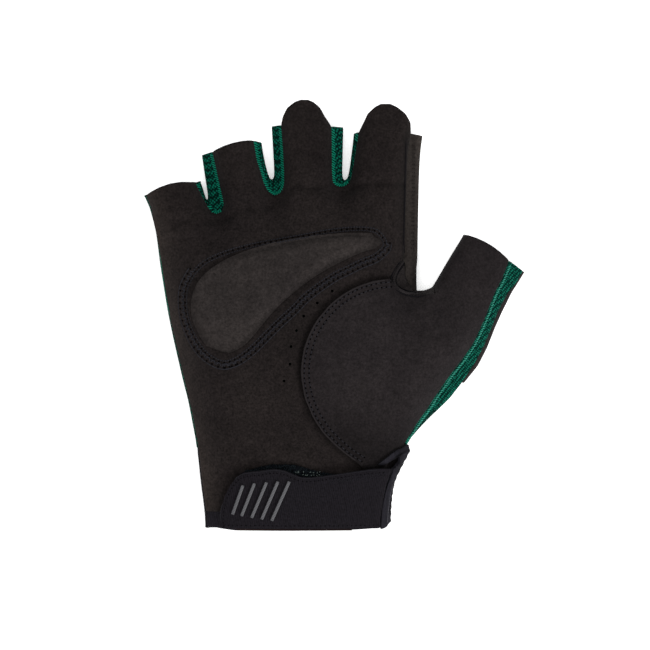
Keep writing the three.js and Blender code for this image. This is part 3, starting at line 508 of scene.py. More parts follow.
notchSeams = {
    "little_ring": [
        (-43.2, 135.6), (-41.4, 132), (-39.8, 129), (-38.2, 126), (-36.9, 124.1), (-34.8, 123.4),
        (-32.9, 124.3), (-32.1, 126.8), (-32.9, 131), (-34.6, 138.6), (-36.6, 147.7),
    ],
    "ring_middle": [
        (-20.5, 152.1), (-19.2, 144.5), (-17.6, 139.5), (-16.4, 135.4), (-14.9, 132.4), (-12.3, 130.6),
        (-9.9, 131.8), (-8.7, 134.8), (-8.6, 139.5), (-9.1, 149), (-9.8, 158.1),
    ],
    "middle_index": [
        (10, 157.6), (10.1, 148), (10.2, 139.5), (10.6, 135.8), (11.8, 134.4), (13.7, 134), (15.6, 134.6),
        (17, 135.9), (18, 139.5), (19.3, 147.5), (20.6, 155.5),
    ],
}
strapEdge = [
    (-33.3, 1.6), (-33.4, 4.7), (-32.8, 9.5), (-31.5, 14.2), (-29.1, 18.4), (-26.6, 21.2), (-23.5, 22.5),
    (-18.1, 23.1), (-12.7, 23.8), (-8.5, 23.3), (-5, 21.9), (-2, 20.8), (1.6, 20.6), (10.6, 21.7),
    (22.5, 23.4), (30, 24),
]
creases = [
    # knots, depth, breadth
    ([(-52, 119.5), (-45, 121), (-38, 120), (-31, 121.5)], 0.5, 1.7),
    ([(-32, 121), (-25, 124.5), (-17, 125.5), (-12, 128)], 0.45, 1.8),
    ([(-9, 131), (-4, 134), (1, 133.2), (7, 134)], 0.5, 1.5),
    ([(14, 131.5), (22, 134.5), (30, 135.2), (38, 134.8)], 0.6, 1.6),
    ([(-50, 112), (-44, 113.5), (-37, 112.5)], 0.3, 1.8),
    ([(-8, 146), (-2, 147.5), (5, 146.5)], 0.2, 1.6),
    ([(-36, 134), (-30, 135.2), (-24, 134.4)], 0.2, 1.4),
    ([(30, 119), (33, 112), (36, 104)], 0.35, 2.2),
    ([(-30, 33), (-20, 31.5), (-8, 32.5), (4, 31)], 0.3, 2.4),
    ([(-38, 45), (-28, 43), (-18, 44)], 0.25, 2.6),
]
linePitch = {"pad": 0.5, "oval": 0.5, "notch": 0.6, "fold": 0.7, "strap": 0.7, "side": 1}
creaseLines = linesOf(creases, linePitch["fold"])
padLine = Nearness(rounded(padSeam, linePitch["pad"], True), True)
littleLine = Nearness(rounded(littleEdge, linePitch["side"]))
indexLine = Nearness(rounded(indexSeam, linePitch["side"]))
ovalLine = Nearness(rounded(ovalEdge, linePitch["oval"]))
strapLine = Nearness(rounded(strapEdge, linePitch["strap"]))
notchLines = [Nearness(rounded(knots, linePitch["notch"])) for knots in notchSeams.values()]
foldShape = {"even": 0.7, "uneven": 0.3, "along": 0.75, "drift": 2.1, "across": 0.5}
strapShadow = (0.45, 0.7, 0.9)  # depth, place, breadth


def creased(x, y, shift=0.0):
    # the folds come and go along their lines
    drift = foldShape["drift"] * math.sin(foldShape["across"] * y)
    strength = foldShape["even"] + foldShape["uneven"] * math.sin(foldShape["along"] * x + drift)
    return depthAt(creaseLines, x, y, shift) * strength


def rolling(x, y):
    # soft unevenness of cloth that nothing fills: heights in millimetres, waves in radians a millimetre
    return (
        0.16 * math.sin(x * 0.21 + 1.3 + 0.9 * math.sin(y * 0.11))
        + 0.13 * math.sin(y * 0.27 + 0.7 * math.sin(x * 0.13 + 2))
        + 0.07 * math.sin(x * 0.47 - y * 0.31)
    )


def strapShade(x, y):
    return band(strapLine.of(x, y), *strapShadow)


# Palm: channelled round the pad, creased below the fingers
palmShape = {
    # bands are depth, place, breadth; slopes are depth, start, run
    "channel": (-0.55, 0, 1.1),
    "swell": (0.5, 3, 2.4),
    "belowPad": (1, -1, -2),
    "middle": -2,
    "sides": (1, 60, -8),
    "foot": (1, 0, 12),
    "fold": 1.9,
    "finerSeam": 5,
    "finerFold": 3,
}
# painted light on the palm: shade beside the pad, outside the oval, in the hollow, towards the fingers, in
# the folds, at the notches and under the strap; highlights beside the folds, along the little finger's side
# and above the strap; darker along the index seam
palmPaint = {
    "padOutside": (0.08, 2, 2.2),
    "padInside": (0.12, -2.2, 1.0),
    "oval": (0.42, -0.3, 1.3),
    "ovalFrom": 20,
    "hollowAt": (-2, 76),
    "hollow": (0.14, 0, 20),
    "fingers": (0.1, 112, 14),
    "index": (0.4, 0, 1.1),
    "notch": (0.3, 0, 0.9),
    "fold": 0.42,
    "foldShift": 0.6,
    "foldLit": 0.2,
    "foldLitShift": -1.8,
    "darkest": 0.35,
    "sideHighlight": (0.8, 0, 6),
    "footHighlight": (0.12, 25, 9),
    "footHighlightTo": (1, 10, -20),
    "lessGreen": 0.03,
    "lessBlue": 0.12,
}


def palmDetail(x, y):
    nearFold = any(abs(line.of(x, y)) < palmShape["finerFold"] for line, depth, breadth in creaseLines)
    return nearFold or abs(padLine.of(x, y)) < palmShape["finerSeam"]


def palmRise(x, y):
    away = padLine.of(x, y)  # inside the pad's seam is negative
    rise = band(away, *palmShape["channel"]) + band(away, *palmShape["swell"])
    free = 1 - slope(away, *palmShape["belowPad"])
    edge = slope(abs(x - palmShape["middle"]), *palmShape["sides"]) * slope(y, *palmShape["foot"])
    return rise + free * edge * (rolling(x, y) - palmShape["fold"] * creased(x, y))


def palmTone(x, y):
    away = padLine.of(x, y)
    # painted shade beside the pad, the oval, the folds, the notches and the strap, in the hollow and towards
    # the fingers, with a painted highlight beside the folds
    dim = band(away, *palmPaint["padOutside"]) + band(away, *palmPaint["padInside"])
    if y > palmPaint["ovalFrom"]:
        dim += band(ovalLine.of(x, y), *palmPaint["oval"])
    dim += band(math.dist((x, y), palmPaint["hollowAt"]), *palmPaint["hollow"])
    dim += slope(y, *palmPaint["fingers"])
    dim += band(indexLine.of(x, y), *palmPaint["index"])
    dim += palmPaint["fold"] * creased(x, y, palmPaint["foldShift"])
    dim -= palmPaint["foldLit"] * creased(x, y, palmPaint["foldLitShift"])
    dim += sum(band(line.of(x, y), *palmPaint["notch"]) for line in notchLines)
    dim += strapShade(x, y)
    # warm painted highlights along the little finger's side and above the strap
    warm = band(littleLine.of(x, y), *palmPaint["sideHighlight"])
    warm += band(y, *palmPaint["footHighlight"]) * slope(x, *palmPaint["footHighlightTo"])
    tone = max(palmPaint["darkest"], 1 - dim) * (1 + warm)
    return (tone, tone * (1 - palmPaint["lessGreen"] * warm), tone * (1 - palmPaint["lessBlue"] * warm))


palm = panelFrom("palm_panel", "palm_suede_panel", "palm")
finer(palm, palmDetail)
raised(palm, palmRise)
painted(palm, palmTone)
print("palm is creased:", len(palm.data.polygons), "faces")

hem = panelFrom("palm_hem", "wrist_hem", "hem")

# Thumb panel: a turned edge along the oval, sunk a little under its two rows of stitches
thumbShape = {"channel": (-0.22, 2.4, 1.6), "rolling": (0.8, 4, 10), "rollShift": 30}
# painted light on the thumb: a paler spot as a painted highlight, darker spots and a darker foot as painted
# shade
thumbPaint = {
    "spots": [
        # depth, breadth, middle
        (0.14, 24, (26, 68)),
        (-0.06, 16, (64, 92)),
        (-0.2, 8, (40, 92)),
    ],
    "foot": (0.46, 50, -22),
    "blue": 1.01,
}
thumbCreases = linesOf([
    ([(46, 85), (54, 88), (62, 87.2), (69, 84.5)], 0.3, 1.7),
    ([(36, 88), (44, 83.5), (52, 80), (60, 77)], 0.25, 2.2),
    ([(52, 95), (58, 96.5), (66, 95)], 0.2, 1.8),
    ([(26, 30), (32, 36), (38, 41)], 0.25, 2.0),
], 0.8)


def thumbRise(x, y):
    inset = ovalLine.of(x, y)
    rise = band(inset, *thumbShape["channel"])
    rise += slope(inset, *thumbShape["rolling"]) * rolling(x + thumbShape["rollShift"], y)
    return rise - depthAt(thumbCreases, x, y)


def thumbTone(x, y):
    # painted shade towards the foot and under the strap, painted highlight and shade in spots
    tone = 1 - slope(y, *thumbPaint["foot"]) - strapShade(x, y)
    for depth, breadth, middle in thumbPaint["spots"]:
        tone += depth * bell(math.dist((x, y), middle), breadth)
    return (tone, tone, tone * thumbPaint["blue"])


thumb = panelFrom("thumb_panel", "thumb_suede_panel", "thumb", 3)
raised(thumb, thumbRise)
painted(thumb, thumbTone)

# Gel pad: a little fuller than its solid, so that its foot meets the palm
padShape = {
    "swell": 0.8,
    "sunk": 0.2,
    "movedFrom": 9,
    "rim": 4.6,
    "reach": 2.9,
    "lowerReach": 3.9,
    "lowerFrom": (1, 0.4, 0.06),  # the lower edge, as shares of the way round the seam
    "lowerTo": (1, 0.82, -0.06),
    "probe": 0.5,
}
# painted shade on the pad's slope, a painted shadow line and a painted highlight along its lower edge
padPaint = {"rim": (0.32, -2.6, 1.5), "lowerRim": (0.34, -3.4, 1.2), "lowerLit": (0.12, -6, 2.5)}


def lowerEdge(x, y):
    # 1 beside the lower edge of the pad, 0 beside the rest
    share = padLine.share(x, y)
    return slope(share, *padShape["lowerFrom"]) * slope(share, *padShape["lowerTo"])


def padMove(x, y):
    # stretches the rim out to its seam
    probe = padShape["probe"]
    reach = padShape["reach"] + (padShape["lowerReach"] - padShape["reach"]) * lowerEdge(x, y)
    stretch = (padShape["movedFrom"] - reach) / (padShape["movedFrom"] - padShape["rim"]) - 1
    far = max(0, padLine.of(x, y) + padShape["movedFrom"]) * stretch
    outX = padLine.of(x + probe, y) - padLine.of(x - probe, y)
    outY = padLine.of(x, y + probe) - padLine.of(x, y - probe)
    return (outX * far, outY * far, -padShape["sunk"])


def padTone(x, y):
    # painted shade towards the upper left, on the lower edge a painted shadow line with a painted highlight
    # further in
    away = padLine.of(x, y)
    lower = lowerEdge(x, y)
    tone = 1 + lower * (band(away, *padPaint["lowerLit"]) - band(away, *padPaint["lowerRim"]))
    tone -= (1 - lower) * band(away, *padPaint["rim"])
    return (tone, tone, tone)


pad = panelFrom("gel_pad", "raised_gel_pad", "pad", 4, 0)
onlyActive(pad)
bpy.ops.object.mode_set(mode="EDIT")
bpy.ops.mesh.select_all(action="SELECT")
bpy.ops.transform.shrink_fatten(value=-padShape["swell"] * mm)
bpy.ops.object.mode_set(mode="OBJECT")
shifted(pad, padMove)
painted(pad, padTone)
print("palm, thumb and pad are shaped")

# Sides: mesh between the fingers, suede beside the index finger and behind the thumb
sides = [
    panelFrom("fourchette_little_ring", "side_mesh_little_ring", "mesh", 3),
    panelFrom("fourchette_ring_middle", "side_mesh_ring_middle", "mesh", 3),
    panelFrom("fourchette_middle_index", "side_mesh_middle_index", "mesh", 3),
]
gussetShape = {"foot": (-1.2, 97.5, -3)}
# a painted highlight towards the outer edge; darker along the seam and the perforations
gussetPaint = {
    "seam": (0.45, 0, 1.0),
    "holes": (0.25, 42, 0.7),
    "edge": (0.25, 42, 2.5),
    "green": 0.99,
    "blue": 0.95,
}


def gussetTone(x, y):
    dim = band(indexLine.of(x, y), *gussetPaint["seam"]) + band(x, *gussetPaint["holes"])
    tone = 1 + slope(x, *gussetPaint["edge"]) - dim
    return (tone, tone * gussetPaint["green"], tone * gussetPaint["blue"])


gusset = panelFrom("index_gusset", "index_side", "gusset", 3)
# its foot reaches down into the crotch of the thumb
shifted(gusset, lambda x, y: (0, slope(y, *gussetShape["foot"]), 0))
painted(gusset, gussetTone)

wedgeShade = (0.8, 0.8, 0.84)
wedge = panelFrom("crotch_wedge", "thumb_crotch_leaf", "gusset", 3)
painted(wedge, lambda x, y: wedgeShade)

stripShape = {"foot": (1, 36, -3), "left": -0.7, "down": -2.2}


def stripMove(x, y):
    # its foot runs on behind the side tab
    low = slope(y, *stripShape["foot"])
    return (stripShape["left"] * low, stripShape["down"] * low, 0)


strip = panelFrom("thumb_side_strip", "thumb_side_mesh", "stripMesh", 3)
shifted(strip, stripMove)

thumbBackShade = (0.75, 0.73, 0.75)
thumbBack = panelFrom("thumb_back_panel", "thumb_back", "gusset")
painted(thumbBack, lambda x, y: thumbBackShade)

cuffShape = {"head": (0.6, 30, 2)}
cuff = panelFrom("cuff_back", "cuff_wrap", "neoprene")
# its head laps up to the mesh back
shifted(cuff, lambda x, y: (0, slope(y, *cuffShape["head"]), 0))

# Side tab: its foot hangs lower at the fold, and its bound edge is uneven
tabShape = {"foot": (-1.0, 6, -5), "footTo": (1, 32.5, -3), "wave": (0.12, 32, 1.5), "waves": 2.3}
# painted shade along the tab's folds, and darker in a stripe at its head
tabPaint = {"head": (1, 20, 4), "stripe": (0.42, 36.4, 1.8)}
tabFolds = linesOf([
    ([(33.2, 27.2), (37.2, 29.8), (40.2, 31.4)], 0.55, 0.5),
    ([(27.9, 25.6), (30.7, 25.9), (34.5, 24.6)], 0.6, 0.6),
    ([(37.9, 25.4), (36.2, 22.9), (34.2, 17.7), (33.5, 12), (33.4, 4)], 0.5, 0.45),
    ([(33.4, 21), (32, 14), (31.3, 8), (31.2, 3)], 0.25, 0.35),
], 0.3)


def tabMove(x, y):
    right = slope(x, *tabShape["wave"]) * math.sin(y * tabShape["waves"])
    return (right, slope(y, *tabShape["foot"]) * slope(x, *tabShape["footTo"]), 0)


def tabTone(x, y):
    # painted shade along the folds, darker in a stripe at the head
    tone = 1 - depthAt(tabFolds, x, y) - slope(y, *tabPaint["head"]) * band(x, *tabPaint["stripe"])
    return (tone, tone, tone)


sideTab = panelFrom("cuff_side_tab", "bound_side_tab", "binding", 3)
shifted(sideTab, tabMove)
back = panelFrom("back_panel", "mesh_back", "mesh")

laps = [
    # panel, the panels that its edge is drawn to, from how far
    *[(side, [palm], 1.7) for side in sides],
    (hem, [palm], 1.7),
    (gusset, [palm], 1.7),
    (strip, [thumb], 1.7),
    (wedge, [thumb], 4.5),
    (wedge, [gusset, palm], 2.4),
    (thumbBack, [strip, thumb, wedge], 2.2),
    (back, [palm, gusset, wedge, thumbBack, strip, *sides], 2.2),
    (cuff, [back, hem, palm, thumbBack], 1.7),
    (sideTab, [cuff, strip], 2.6),
]
for piece, neighbours, reach in laps:
    lapped(piece, neighbours, reach)
painted(sideTab, tabTone)
print("seams are closed")

loop = panelFrom("loop_patch", "loop_fabric", "pile", 3)
strap = panelFrom("wrist_strap", "wrist_strap_cover", "neoprene", 3)
for n in range(1, 6):
    panelFrom("grip_bar_" + str(n), "grip_line_" + str(n), "rubber", 2, 0.6)
print("panels are cut")

# One stitch and one needle hole, modelled once and one unit wide
stitchShape = {"sides": 6, "straight": 0.5, "taper": 0.25, "dip": 0.12, "tip": 0.45, "flatEnd": 0.9}
bpy.ops.object.select_all(action="DESELECT")
bpy.ops.mesh.primitive_cylinder_add(
    vertices=stitchShape["sides"],
    radius=0.5,
    depth=stitchShape["straight"],
    rotation=(0, math.radians(90), 0),
)
stitchForm = bpy.context.object
stitchForm.name = "stitch_form"
bpy.ops.object.transform_apply(location=True, rotation=True, scale=True)
for end in (1, -1):
    bpy.ops.object.mode_set(mode="EDIT")
    bpy.ops.mesh.select_all(action="DESELECT")
    bpy.ops.object.mode_set(mode="OBJECT")
    for face in stitchForm.data.polygons:
        face.select = face.normal.x * end > stitchShape["flatEnd"]
    bpy.ops.object.mode_set(mode="EDIT")
    taper = (end * stitchShape["taper"], 0, -stitchShape["dip"])
    bpy.ops.mesh.extrude_region_move(TRANSFORM_OT_translate={"value": taper})
    bpy.ops.transform.resize(value=(1, stitchShape["tip"], stitchShape["tip"]))
    bpy.ops.object.mode_set(mode="OBJECT")
bpy.ops.object.shade_smooth()

holeShape = {"sides": 8, "rim": 0.18, "rise": 0.1, "lift": 0.03}
bpy.ops.object.select_all(action="DESELECT")
bpy.ops.mesh.primitive_circle_add(vertices=holeShape["sides"], radius=0.5, fill_type="NGON")
holeForm = bpy.context.object
holeForm.name = "hole_form"
bpy.ops.object.mode_set(mode="EDIT")
bpy.ops.mesh.select_all(action="SELECT")
bpy.ops.mesh.inset(thickness=holeShape["rim"], depth=0)
bpy.ops.transform.translate(value=(0, 0, holeShape["rise"]))
bpy.ops.object.mode_set(mode="OBJECT")
bpy.ops.object.shade_smooth()

threadShape = {
    "castFrom": 200,
    "lift": 0.06,
    "longest": 6,
    "overHeight": 0.4,
    "overLift": 0.1,
    "overDrop": 2,
    "pipeEnd": 4,  # points over which the end of a rolled edge sinks
    "pipeSunk": 1.6,
}


def groundAt(trees, x, y):
    # the highest cloth under a place on the plan
    start = onPlan(x, y, threadShape["castFrom"])
    best = None
    for tree in trees:
        spot, normal, index, distance = tree.ray_cast(start, Vector((0, 0, -1)))
        if spot and (best is None or spot.z > best[0].z):
            best = (spot, normal if normal.z > 0 else -normal)
    return best


def standing(form, spot, along, normal, size):
    # a copy with its own mesh: long axis along the seam, top away from the cloth
    cross = normal.cross(along).normalized()
    along = cross.cross(normal).normalized()
    turn = Matrix((along, cross, normal)).transposed().to_4x4()
    piece = form.copy()
    piece.data = form.data.copy()
    piece.data.transform(Matrix.Translation(spot) @ turn @ Matrix.Diagonal((*size, 1)))
    bpy.context.scene.collection.objects.link(piece)
    return piece


def threadBetween(here, there, lift, cover, width, height):
    # a stitch from one place on the cloth to the next
    along = there[0] - here[0]
    normal = (here[1] + there[1]).normalized()
    middle = (here[0] + there[0]) / 2 + normal * lift * mm
    return standing(stitchForm, middle, along, normal, (along.length * cover, width * mm, height * mm))


def joined(copies, name, finish):
    bpy.ops.object.select_all(action="DESELECT")
    for piece in copies:
        piece.select_set(True)
    bpy.context.view_layer.objects.active = copies[0]
    bpy.ops.object.join()
    row = bpy.context.object
    row.name = name
    row.data.materials.clear()
    row.data.materials.append(finishes[finish])
    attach(row, "root")
    return row


def holesAlong(trees, points, size):
    copies = []
    for x, y in points:
        ground = groundAt(trees, x, y)
        if ground:
            spot, normal = ground
            place = spot + normal * holeShape["lift"] * mm
            copies.append(standing(holeForm, place, Vector((0, 1, 0)), normal, (size * mm,) * 3))
    return copies


def threadsAlong(trees, points, thread, lift=threadShape["lift"], closed=False):
    width, height, cover = thread
    copies = []
    for here, there in zip(points, points[1:] + (points[:1] if closed else [])):
        first, second = groundAt(trees, *here), groundAt(trees, *there)
        if not first or not second or (first[0] - second[0]).length > threadShape["longest"] * mm:
            continue
        copies.append(threadBetween(first, second, lift, cover, width, height))
    return copies


def zigzag(points, reach, closed=False):
    left, right = beside(points, reach, closed), beside(points, -reach, closed)
    return [left[n] if n % 2 else right[n] for n in range(len(points))]


def crossing(trees, points, near, far, width):
    # threads that go over an edge, from one side of a line to the other
    copies = []
    for start, end in zip(beside(points, near), beside(points, far)[1:]):
        here, there = groundAt(trees, *start), groundAt(trees, *end)
        if not here or not there or abs(here[0].z - there[0].z) > threadShape["overDrop"] * mm:
            continue
        size = (1, width, threadShape["overHeight"])
        copies.append(threadBetween(here, there, threadShape["overLift"], *size))
    return copies


def piping(trees, points, radius, lift, name, finish, eased=0):
    # a thin rolled edge along a line, lying on the cloth, its ends let into it
    places = []
    for n, (x, y) in enumerate(points):
        ground = groundAt(trees, x, y)
        end = max(0, 1 - min(n, len(points) - 1 - n) / threadShape["pipeEnd"])
        if ground:
            places.append(ground[0] + ground[1] * (lift - threadShape["pipeSunk"] * radius * end) * mm)
    for turn in range(eased):
        # a stiff edge doesn't follow each step of the cloth below
        heights = [place.z for place in places]
        for n in range(1, len(places) - 1):
            places[n].z = (heights[n - 1] + heights[n] + heights[n + 1]) / 3
    path = bpy.data.curves.new(name, "CURVE")
    path.dimensions = "3D"
    path.bevel_depth = radius * mm
    path.bevel_resolution = 2
    path.use_fill_caps = True
    line = path.splines.new("POLY")
    line.points.add(len(places) - 1)
    for spot, place in zip(line.points, places):
        spot.co = (*place, 1)
    edge = bpy.data.objects.new(name, path)
    bpy.context.scene.collection.objects.link(edge)
    onlyActive(edge)
    bpy.ops.object.convert(target="MESH")
    bpy.ops.object.shade_smooth()
    edge = bpy.context.object
    edge.data.materials.clear()
    edge.data.materials.append(finishes[finish])
    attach(edge, "root")
    return edge


# Stitches round the pad: dotted between two pale threads, broader along the lower edge
padStitch = {
    "pitch": 2.15,
    "hole": 0.82,
    "rail": 0.68,
    "railThread": (0.6, 0.4, 0.82),  # width, height, share of the pitch
    "railZigzag": 0.14,
    "inner": 2.0,
    "innerThread": (0.5, 0.3, 0.95),
    "innerZigzag": 0.8,
    "innerRail": (0.5, 0.3, 1.0),
    "broadFrom": 9,
    "leftFrom": 20,
}
palmTrees = treeOf(palm, pad)
holes = holesAlong(palmTrees, rounded(padSeam, padStitch["pitch"], True), padStitch["hole"])
beadRow = rounded(padSeam, padStitch["pitch"] / 2, True)
pale = []
for side in (padStitch["rail"], -padStitch["rail"]):
    rail = zigzag(beside(beadRow, side, True), padStitch["railZigzag"], True)
    pale += threadsAlong(palmTrees, rail, padStitch["railThread"], closed=True)
lowerKnots = padSeam[padStitch["broadFrom"]:padStitch["leftFrom"] + 2]
leftKnots = padSeam[padStitch["leftFrom"]:] + padSeam[:1]
for knots in (lowerKnots, leftKnots):
    run = rounded(knots, padStitch["pitch"])
    holes += holesAlong(palmTrees, beside(run, padStitch["inner"]), padStitch["hole"])
    fineRun = beside(rounded(knots, padStitch["pitch"] / 2), padStitch["inner"] / 2)
    pale += threadsAlong(palmTrees, zigzag(fineRun, padStitch["innerZigzag"]), padStitch["innerThread"])
    innerRun = beside(run, padStitch["inner"] + padStitch["rail"])
    pale += threadsAlong(palmTrees, innerRun, padStitch["innerRail"])
joined(holes, "pad_seam_holes", "needleHole")
joined(pale, "pad_seam_threads", "paleThread")

# Two rows inside the oval's edge, and the edge's own cut fibre
ovalStitch = {"pitch": 2.0, "rows": (1.4, 3.3), "hole": 0.72, "thread": (0.4, 0.24, 0.62)}
ovalFibre = {"pitch": 0.9, "inset": 0.55, "radius": 0.34, "lift": -0.12}
ovalTrees = treeOf(thumb)
ovalRun = rounded(ovalEdge, ovalStitch["pitch"])
holes = []
threads = []
for inset in ovalStitch["rows"]:
    row = beside(ovalRun, inset)
    holes += holesAlong(ovalTrees, row, ovalStitch["hole"])
    threads += threadsAlong(ovalTrees, row, ovalStitch["thread"])
joined(holes, "oval_holes", "needleHole")
joined(threads, "oval_threads", "paleThread")
fibreRun = beside(rounded(ovalEdge, ovalFibre["pitch"]), ovalFibre["inset"])
piping(ovalTrees, fibreRun, ovalFibre["radius"], ovalFibre["lift"], "oval_edge",
       "cutEdge")
print("pad and oval are stitched")

# Green thread over the edges of the mesh
notchOvercast = {"pitch": 0.95, "near": -0.1, "far": 1.05, "width": 0.5}
thumbOvercast = {"pitch": 1.1, "near": -0.3, "far": -1.0, "width": 0.42}
thumbSeam = [
    (38.2, 33.4), (42.7, 40.4), (47.2, 46.8), (51.6, 53.5), (57, 61.2), (61.9, 67.5), (65.5, 72.9),
    (69.1, 80.5), (71.3, 85.9), (73.6, 92.1), (76.5, 97.5), (79, 103.6),
]


def overcast(trees, knots, shape):
    return crossing(trees, rounded(knots, shape["pitch"]), shape["near"], shape["far"], shape["width"])


meshTrees = treeOf(*sides, palm)
for name, knots in notchSeams.items():
    threads = overcast(meshTrees, knots, notchOvercast)
    joined(threads, "overcast_" + name, "greenThread")
thumbThreads = overcast(treeOf(strip), thumbSeam, thumbOvercast)
joined(thumbThreads, "overcast_thumb", "lightGreenThread")

sideStitch = {
    "from": 30,
    "pitch": 1.2,
    "steps": range(-5, 5),
    "step": 0.3,
    "above": 5,
    "thread": (0.55, 0.5, 1.05),
    "lift": -0.05,
}
sideTrees = treeOf(back)
sideRun = rounded([knot for knot in littleEdge if knot[1] > sideStitch["from"]], sideStitch["pitch"])
ridge = []
for across in zip(*[beside(sideRun, sideStitch["step"] * step) for step in sideStitch["steps"]]):
    # the highest place of the mesh across the seam
    tops = []
    for spot in across:
        ground = groundAt(sideTrees, *spot)
        if ground and ground[0].z > sideStitch["above"] * mm:
            tops.append((ground[0].z, spot))
    if tops:
        ridge.append(max(tops)[1])
sideThreads = threadsAlong(sideTrees, ridge, sideStitch["thread"], sideStitch["lift"])
joined(sideThreads, "little_side_thread", "greenThread")
print("mesh edges are overcast")

# Crotch leaf: a rolled rim with dark threads either side as painted shade
leafRim = [
    (39.2, 106.6), (37, 103.6), (34.9, 100.5), (34, 97.8), (34.8, 95), (37.6, 93), (41.4, 92), (45.4, 92),
    (48.4, 92.9),
]
leafShape = {"pitch": 0.7, "eased": 12}
leafTrees = treeOf(wedge, thumb, palm, gusset)
leafLines = [
    # name, offset, points left off, radius, lift, finish
    ("leaf_rim", 0, 0, 0.68, -0.1, "cutEdge"),
    ("leaf_rim_shade_inner", 0.95, 4, 0.34, -0.05, "darkThread"),
    ("leaf_rim_shade_outer", -0.85, 0, 0.3, -0.05, "darkThread"),
]
for name, offset, leftOff, radius, lift, finish in leafLines:
    run = beside(rounded(leafRim, leafShape["pitch"]), offset)
    run = run[:len(run) - leftOff]
    piping(leafTrees, run, radius, lift, name, finish, eased=leafShape["eased"])

# Seam and perforations of the index side
seamPipe = {"pitch": 1, "radius": 0.32, "lift": 0.02}
perforation = {
    "columns": (41.5, 42.2),
    "knots": [(-0.2, 110), (0, 130), (0.3, 150)],
    "pitch": 1.5,
    "size": 0.36,
}
gussetTrees = treeOf(gusset)
seamRun = rounded(indexSeam, seamPipe["pitch"])
piping(treeOf(gusset, palm), seamRun, seamPipe["radius"], seamPipe["lift"], "index_seam",
       "darkThread")
perforations = []
for column in perforation["columns"]:
    run = rounded([(column + x, y) for x, y in perforation["knots"]], perforation["pitch"])
    perforations += holesAlong(gussetTrees, run, perforation["size"])
joined(perforations, "index_side_perforations", "needleHole")

# Strap: bound edge, needle row, honeycomb at the fold
strapStitch = {
    "edgePitch": 0.9,
    "edgeInset": -0.1,
    "edgeRadius": 0.24,
    "edgeLift": -0.08,
    "holePitch": 1.5,
    "holeInset": -1.3,
    "hole": 0.5,
    "foot": [(-31.8, 2.2), (-10, 2.0), (10, 2.0), (28, 2.2)],
    "footPitch": 1.7,
    "fold": [(8.6, 21.4), (18, 22.7), (30.6, 24)],
    "foldPitch": 0.9,
    "foldRows": (-1.6, -2.7),
    "foldZigzag": 0.5,
    "foldThread": (0.3, 0.2, 0.95),
}
strapTrees = treeOf(strap)
edgeRun = beside(rounded(strapEdge, strapStitch["edgePitch"]), strapStitch["edgeInset"])
piping(strapTrees, edgeRun, strapStitch["edgeRadius"], strapStitch["edgeLift"], "strap_edge",
       "jerseyThread")
needleRun = beside(rounded(strapEdge, strapStitch["holePitch"]), strapStitch["holeInset"])
footRun = rounded(strapStitch["foot"], strapStitch["footPitch"])
for name, run in (("strap_holes", needleRun), ("strap_foot_holes", footRun)):
    joined(holesAlong(strapTrees, run, strapStitch["hole"]), name, "needleHole")
foldRun = rounded(strapStitch["fold"], strapStitch["foldPitch"])
honeycomb = []
for offset in strapStitch["foldRows"]:
    run = zigzag(beside(foldRun, offset), strapStitch["foldZigzag"])
    honeycomb += threadsAlong(strapTrees, run, strapStitch["foldThread"])
joined(honeycomb, "strap_honeycomb", "jerseyThread")

# Loose loops along the patch above the strap
loopShape = {
    "count": 420,
    "from": -23.5,
    "to": 10.2,
    "reach": (-0.5, 4.2),
    "length": (0.6, 1.5),
    "width": 0.2,
    "tilt": (-0.3, 0.5),
    "lift": 0.25,
}
loopTrees = treeOf(loop)
loops = []
for n in range(loopShape["count"]):
    x = random.uniform(loopShape["from"], loopShape["to"])
    # the nearest knot of the strap's edge, or the higher of two as near
    above = min(strapEdge, key=lambda knot: abs(knot[0] - x) - 0.01 * knot[1])[1]
    ground = groundAt(loopTrees, x, above + random.uniform(*loopShape["reach"]))
    turned = random.uniform(0, math.pi)
    if ground:
        spot, normal = ground
        along = Vector((math.cos(turned), math.sin(turned), random.uniform(*loopShape["tilt"])))
        size = (random.uniform(*loopShape["length"]) * mm, loopShape["width"] * mm, loopShape["width"] * mm)
        loops.append(standing(stitchForm, spot + normal * loopShape["lift"] * mm, along, normal, size))
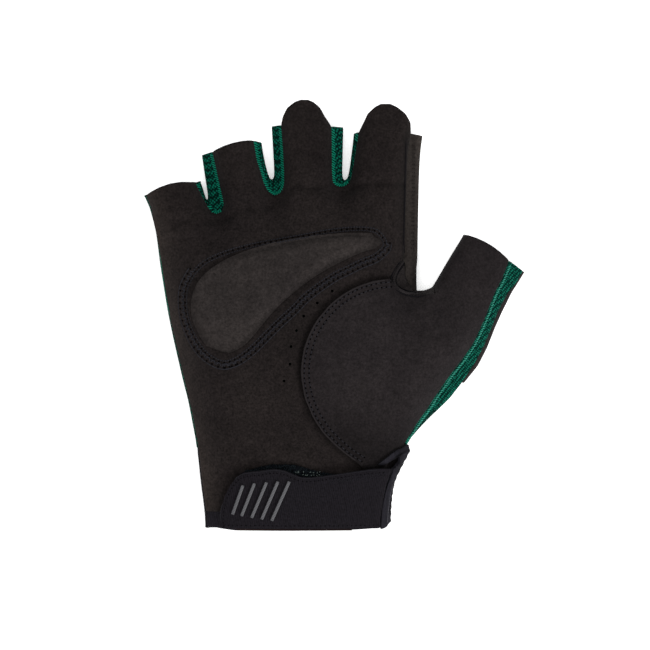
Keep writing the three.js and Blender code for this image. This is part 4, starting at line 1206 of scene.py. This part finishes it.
joined(loops, "loose_loops", "pileThread")

# pale glints on the hooks of the patch, as small pale threads: painted highlights
glintShape = {
    "count": 18,
    "across": (-4.5, 6),
    "up": (21.4, 23.4),
    "size": (0.7, 0.25, 0.25),
    "tilt": 0.2,
    "lift": 0.4,
}
glints = []
for n in range(glintShape["count"]):
    x = random.uniform(*glintShape["across"])
    y = random.uniform(*glintShape["up"])
    turned = random.uniform(0, math.pi)
    ground = groundAt(loopTrees, x, y)
    if ground:
        spot, normal = ground
        along = Vector((math.cos(turned), math.sin(turned), glintShape["tilt"]))
        size = [side * mm for side in glintShape["size"]]
        glints.append(standing(stitchForm, spot + normal * glintShape["lift"] * mm, along, normal, size))
joined(glints, "loop_glints", "glintThread")

# Tab: edge threads and the line of its fold
tabStitch = {
    "knots": [(31.6, 3), (32, 8), (33, 15), (34.4, 19.6)],
    "pitch": 1.1,
    "edgeThread": (0.5, 0.4, 0.9),
    "zigzagInset": -1.3,
    "zigzag": 0.35,
    "zigzagThread": (0.36, 0.3, 0.9),
    "foldInset": -0.65,
    "foldRadius": 0.22,
}
tabTrees = treeOf(sideTab)
tabRun = rounded(tabStitch["knots"], tabStitch["pitch"])
tabThreads = threadsAlong(tabTrees, tabRun, tabStitch["edgeThread"])
tabZigzag = zigzag(beside(tabRun, tabStitch["zigzagInset"]), tabStitch["zigzag"])
tabThreads += threadsAlong(tabTrees, tabZigzag, tabStitch["zigzagThread"])
piping(tabTrees, beside(tabRun, tabStitch["foldInset"]), tabStitch["foldRadius"], 0, "tab_fold_line",
       "darkThread")
joined(tabThreads, "tab_threads", "tabThread")

hemEdge = {"knots": [(-29, 0.45), (-5, 0.2), (27, 0.35)], "pitch": 1.5, "radius": 0.3, "lift": 0.05}
hemRun = rounded(hemEdge["knots"], hemEdge["pitch"])
piping(treeOf(hem), hemRun, hemEdge["radius"], hemEdge["lift"], "hem_edge", "brownEdge")
print("strap and tab are stitched")

bpy.data.objects.remove(stitchForm)
bpy.data.objects.remove(holeForm)
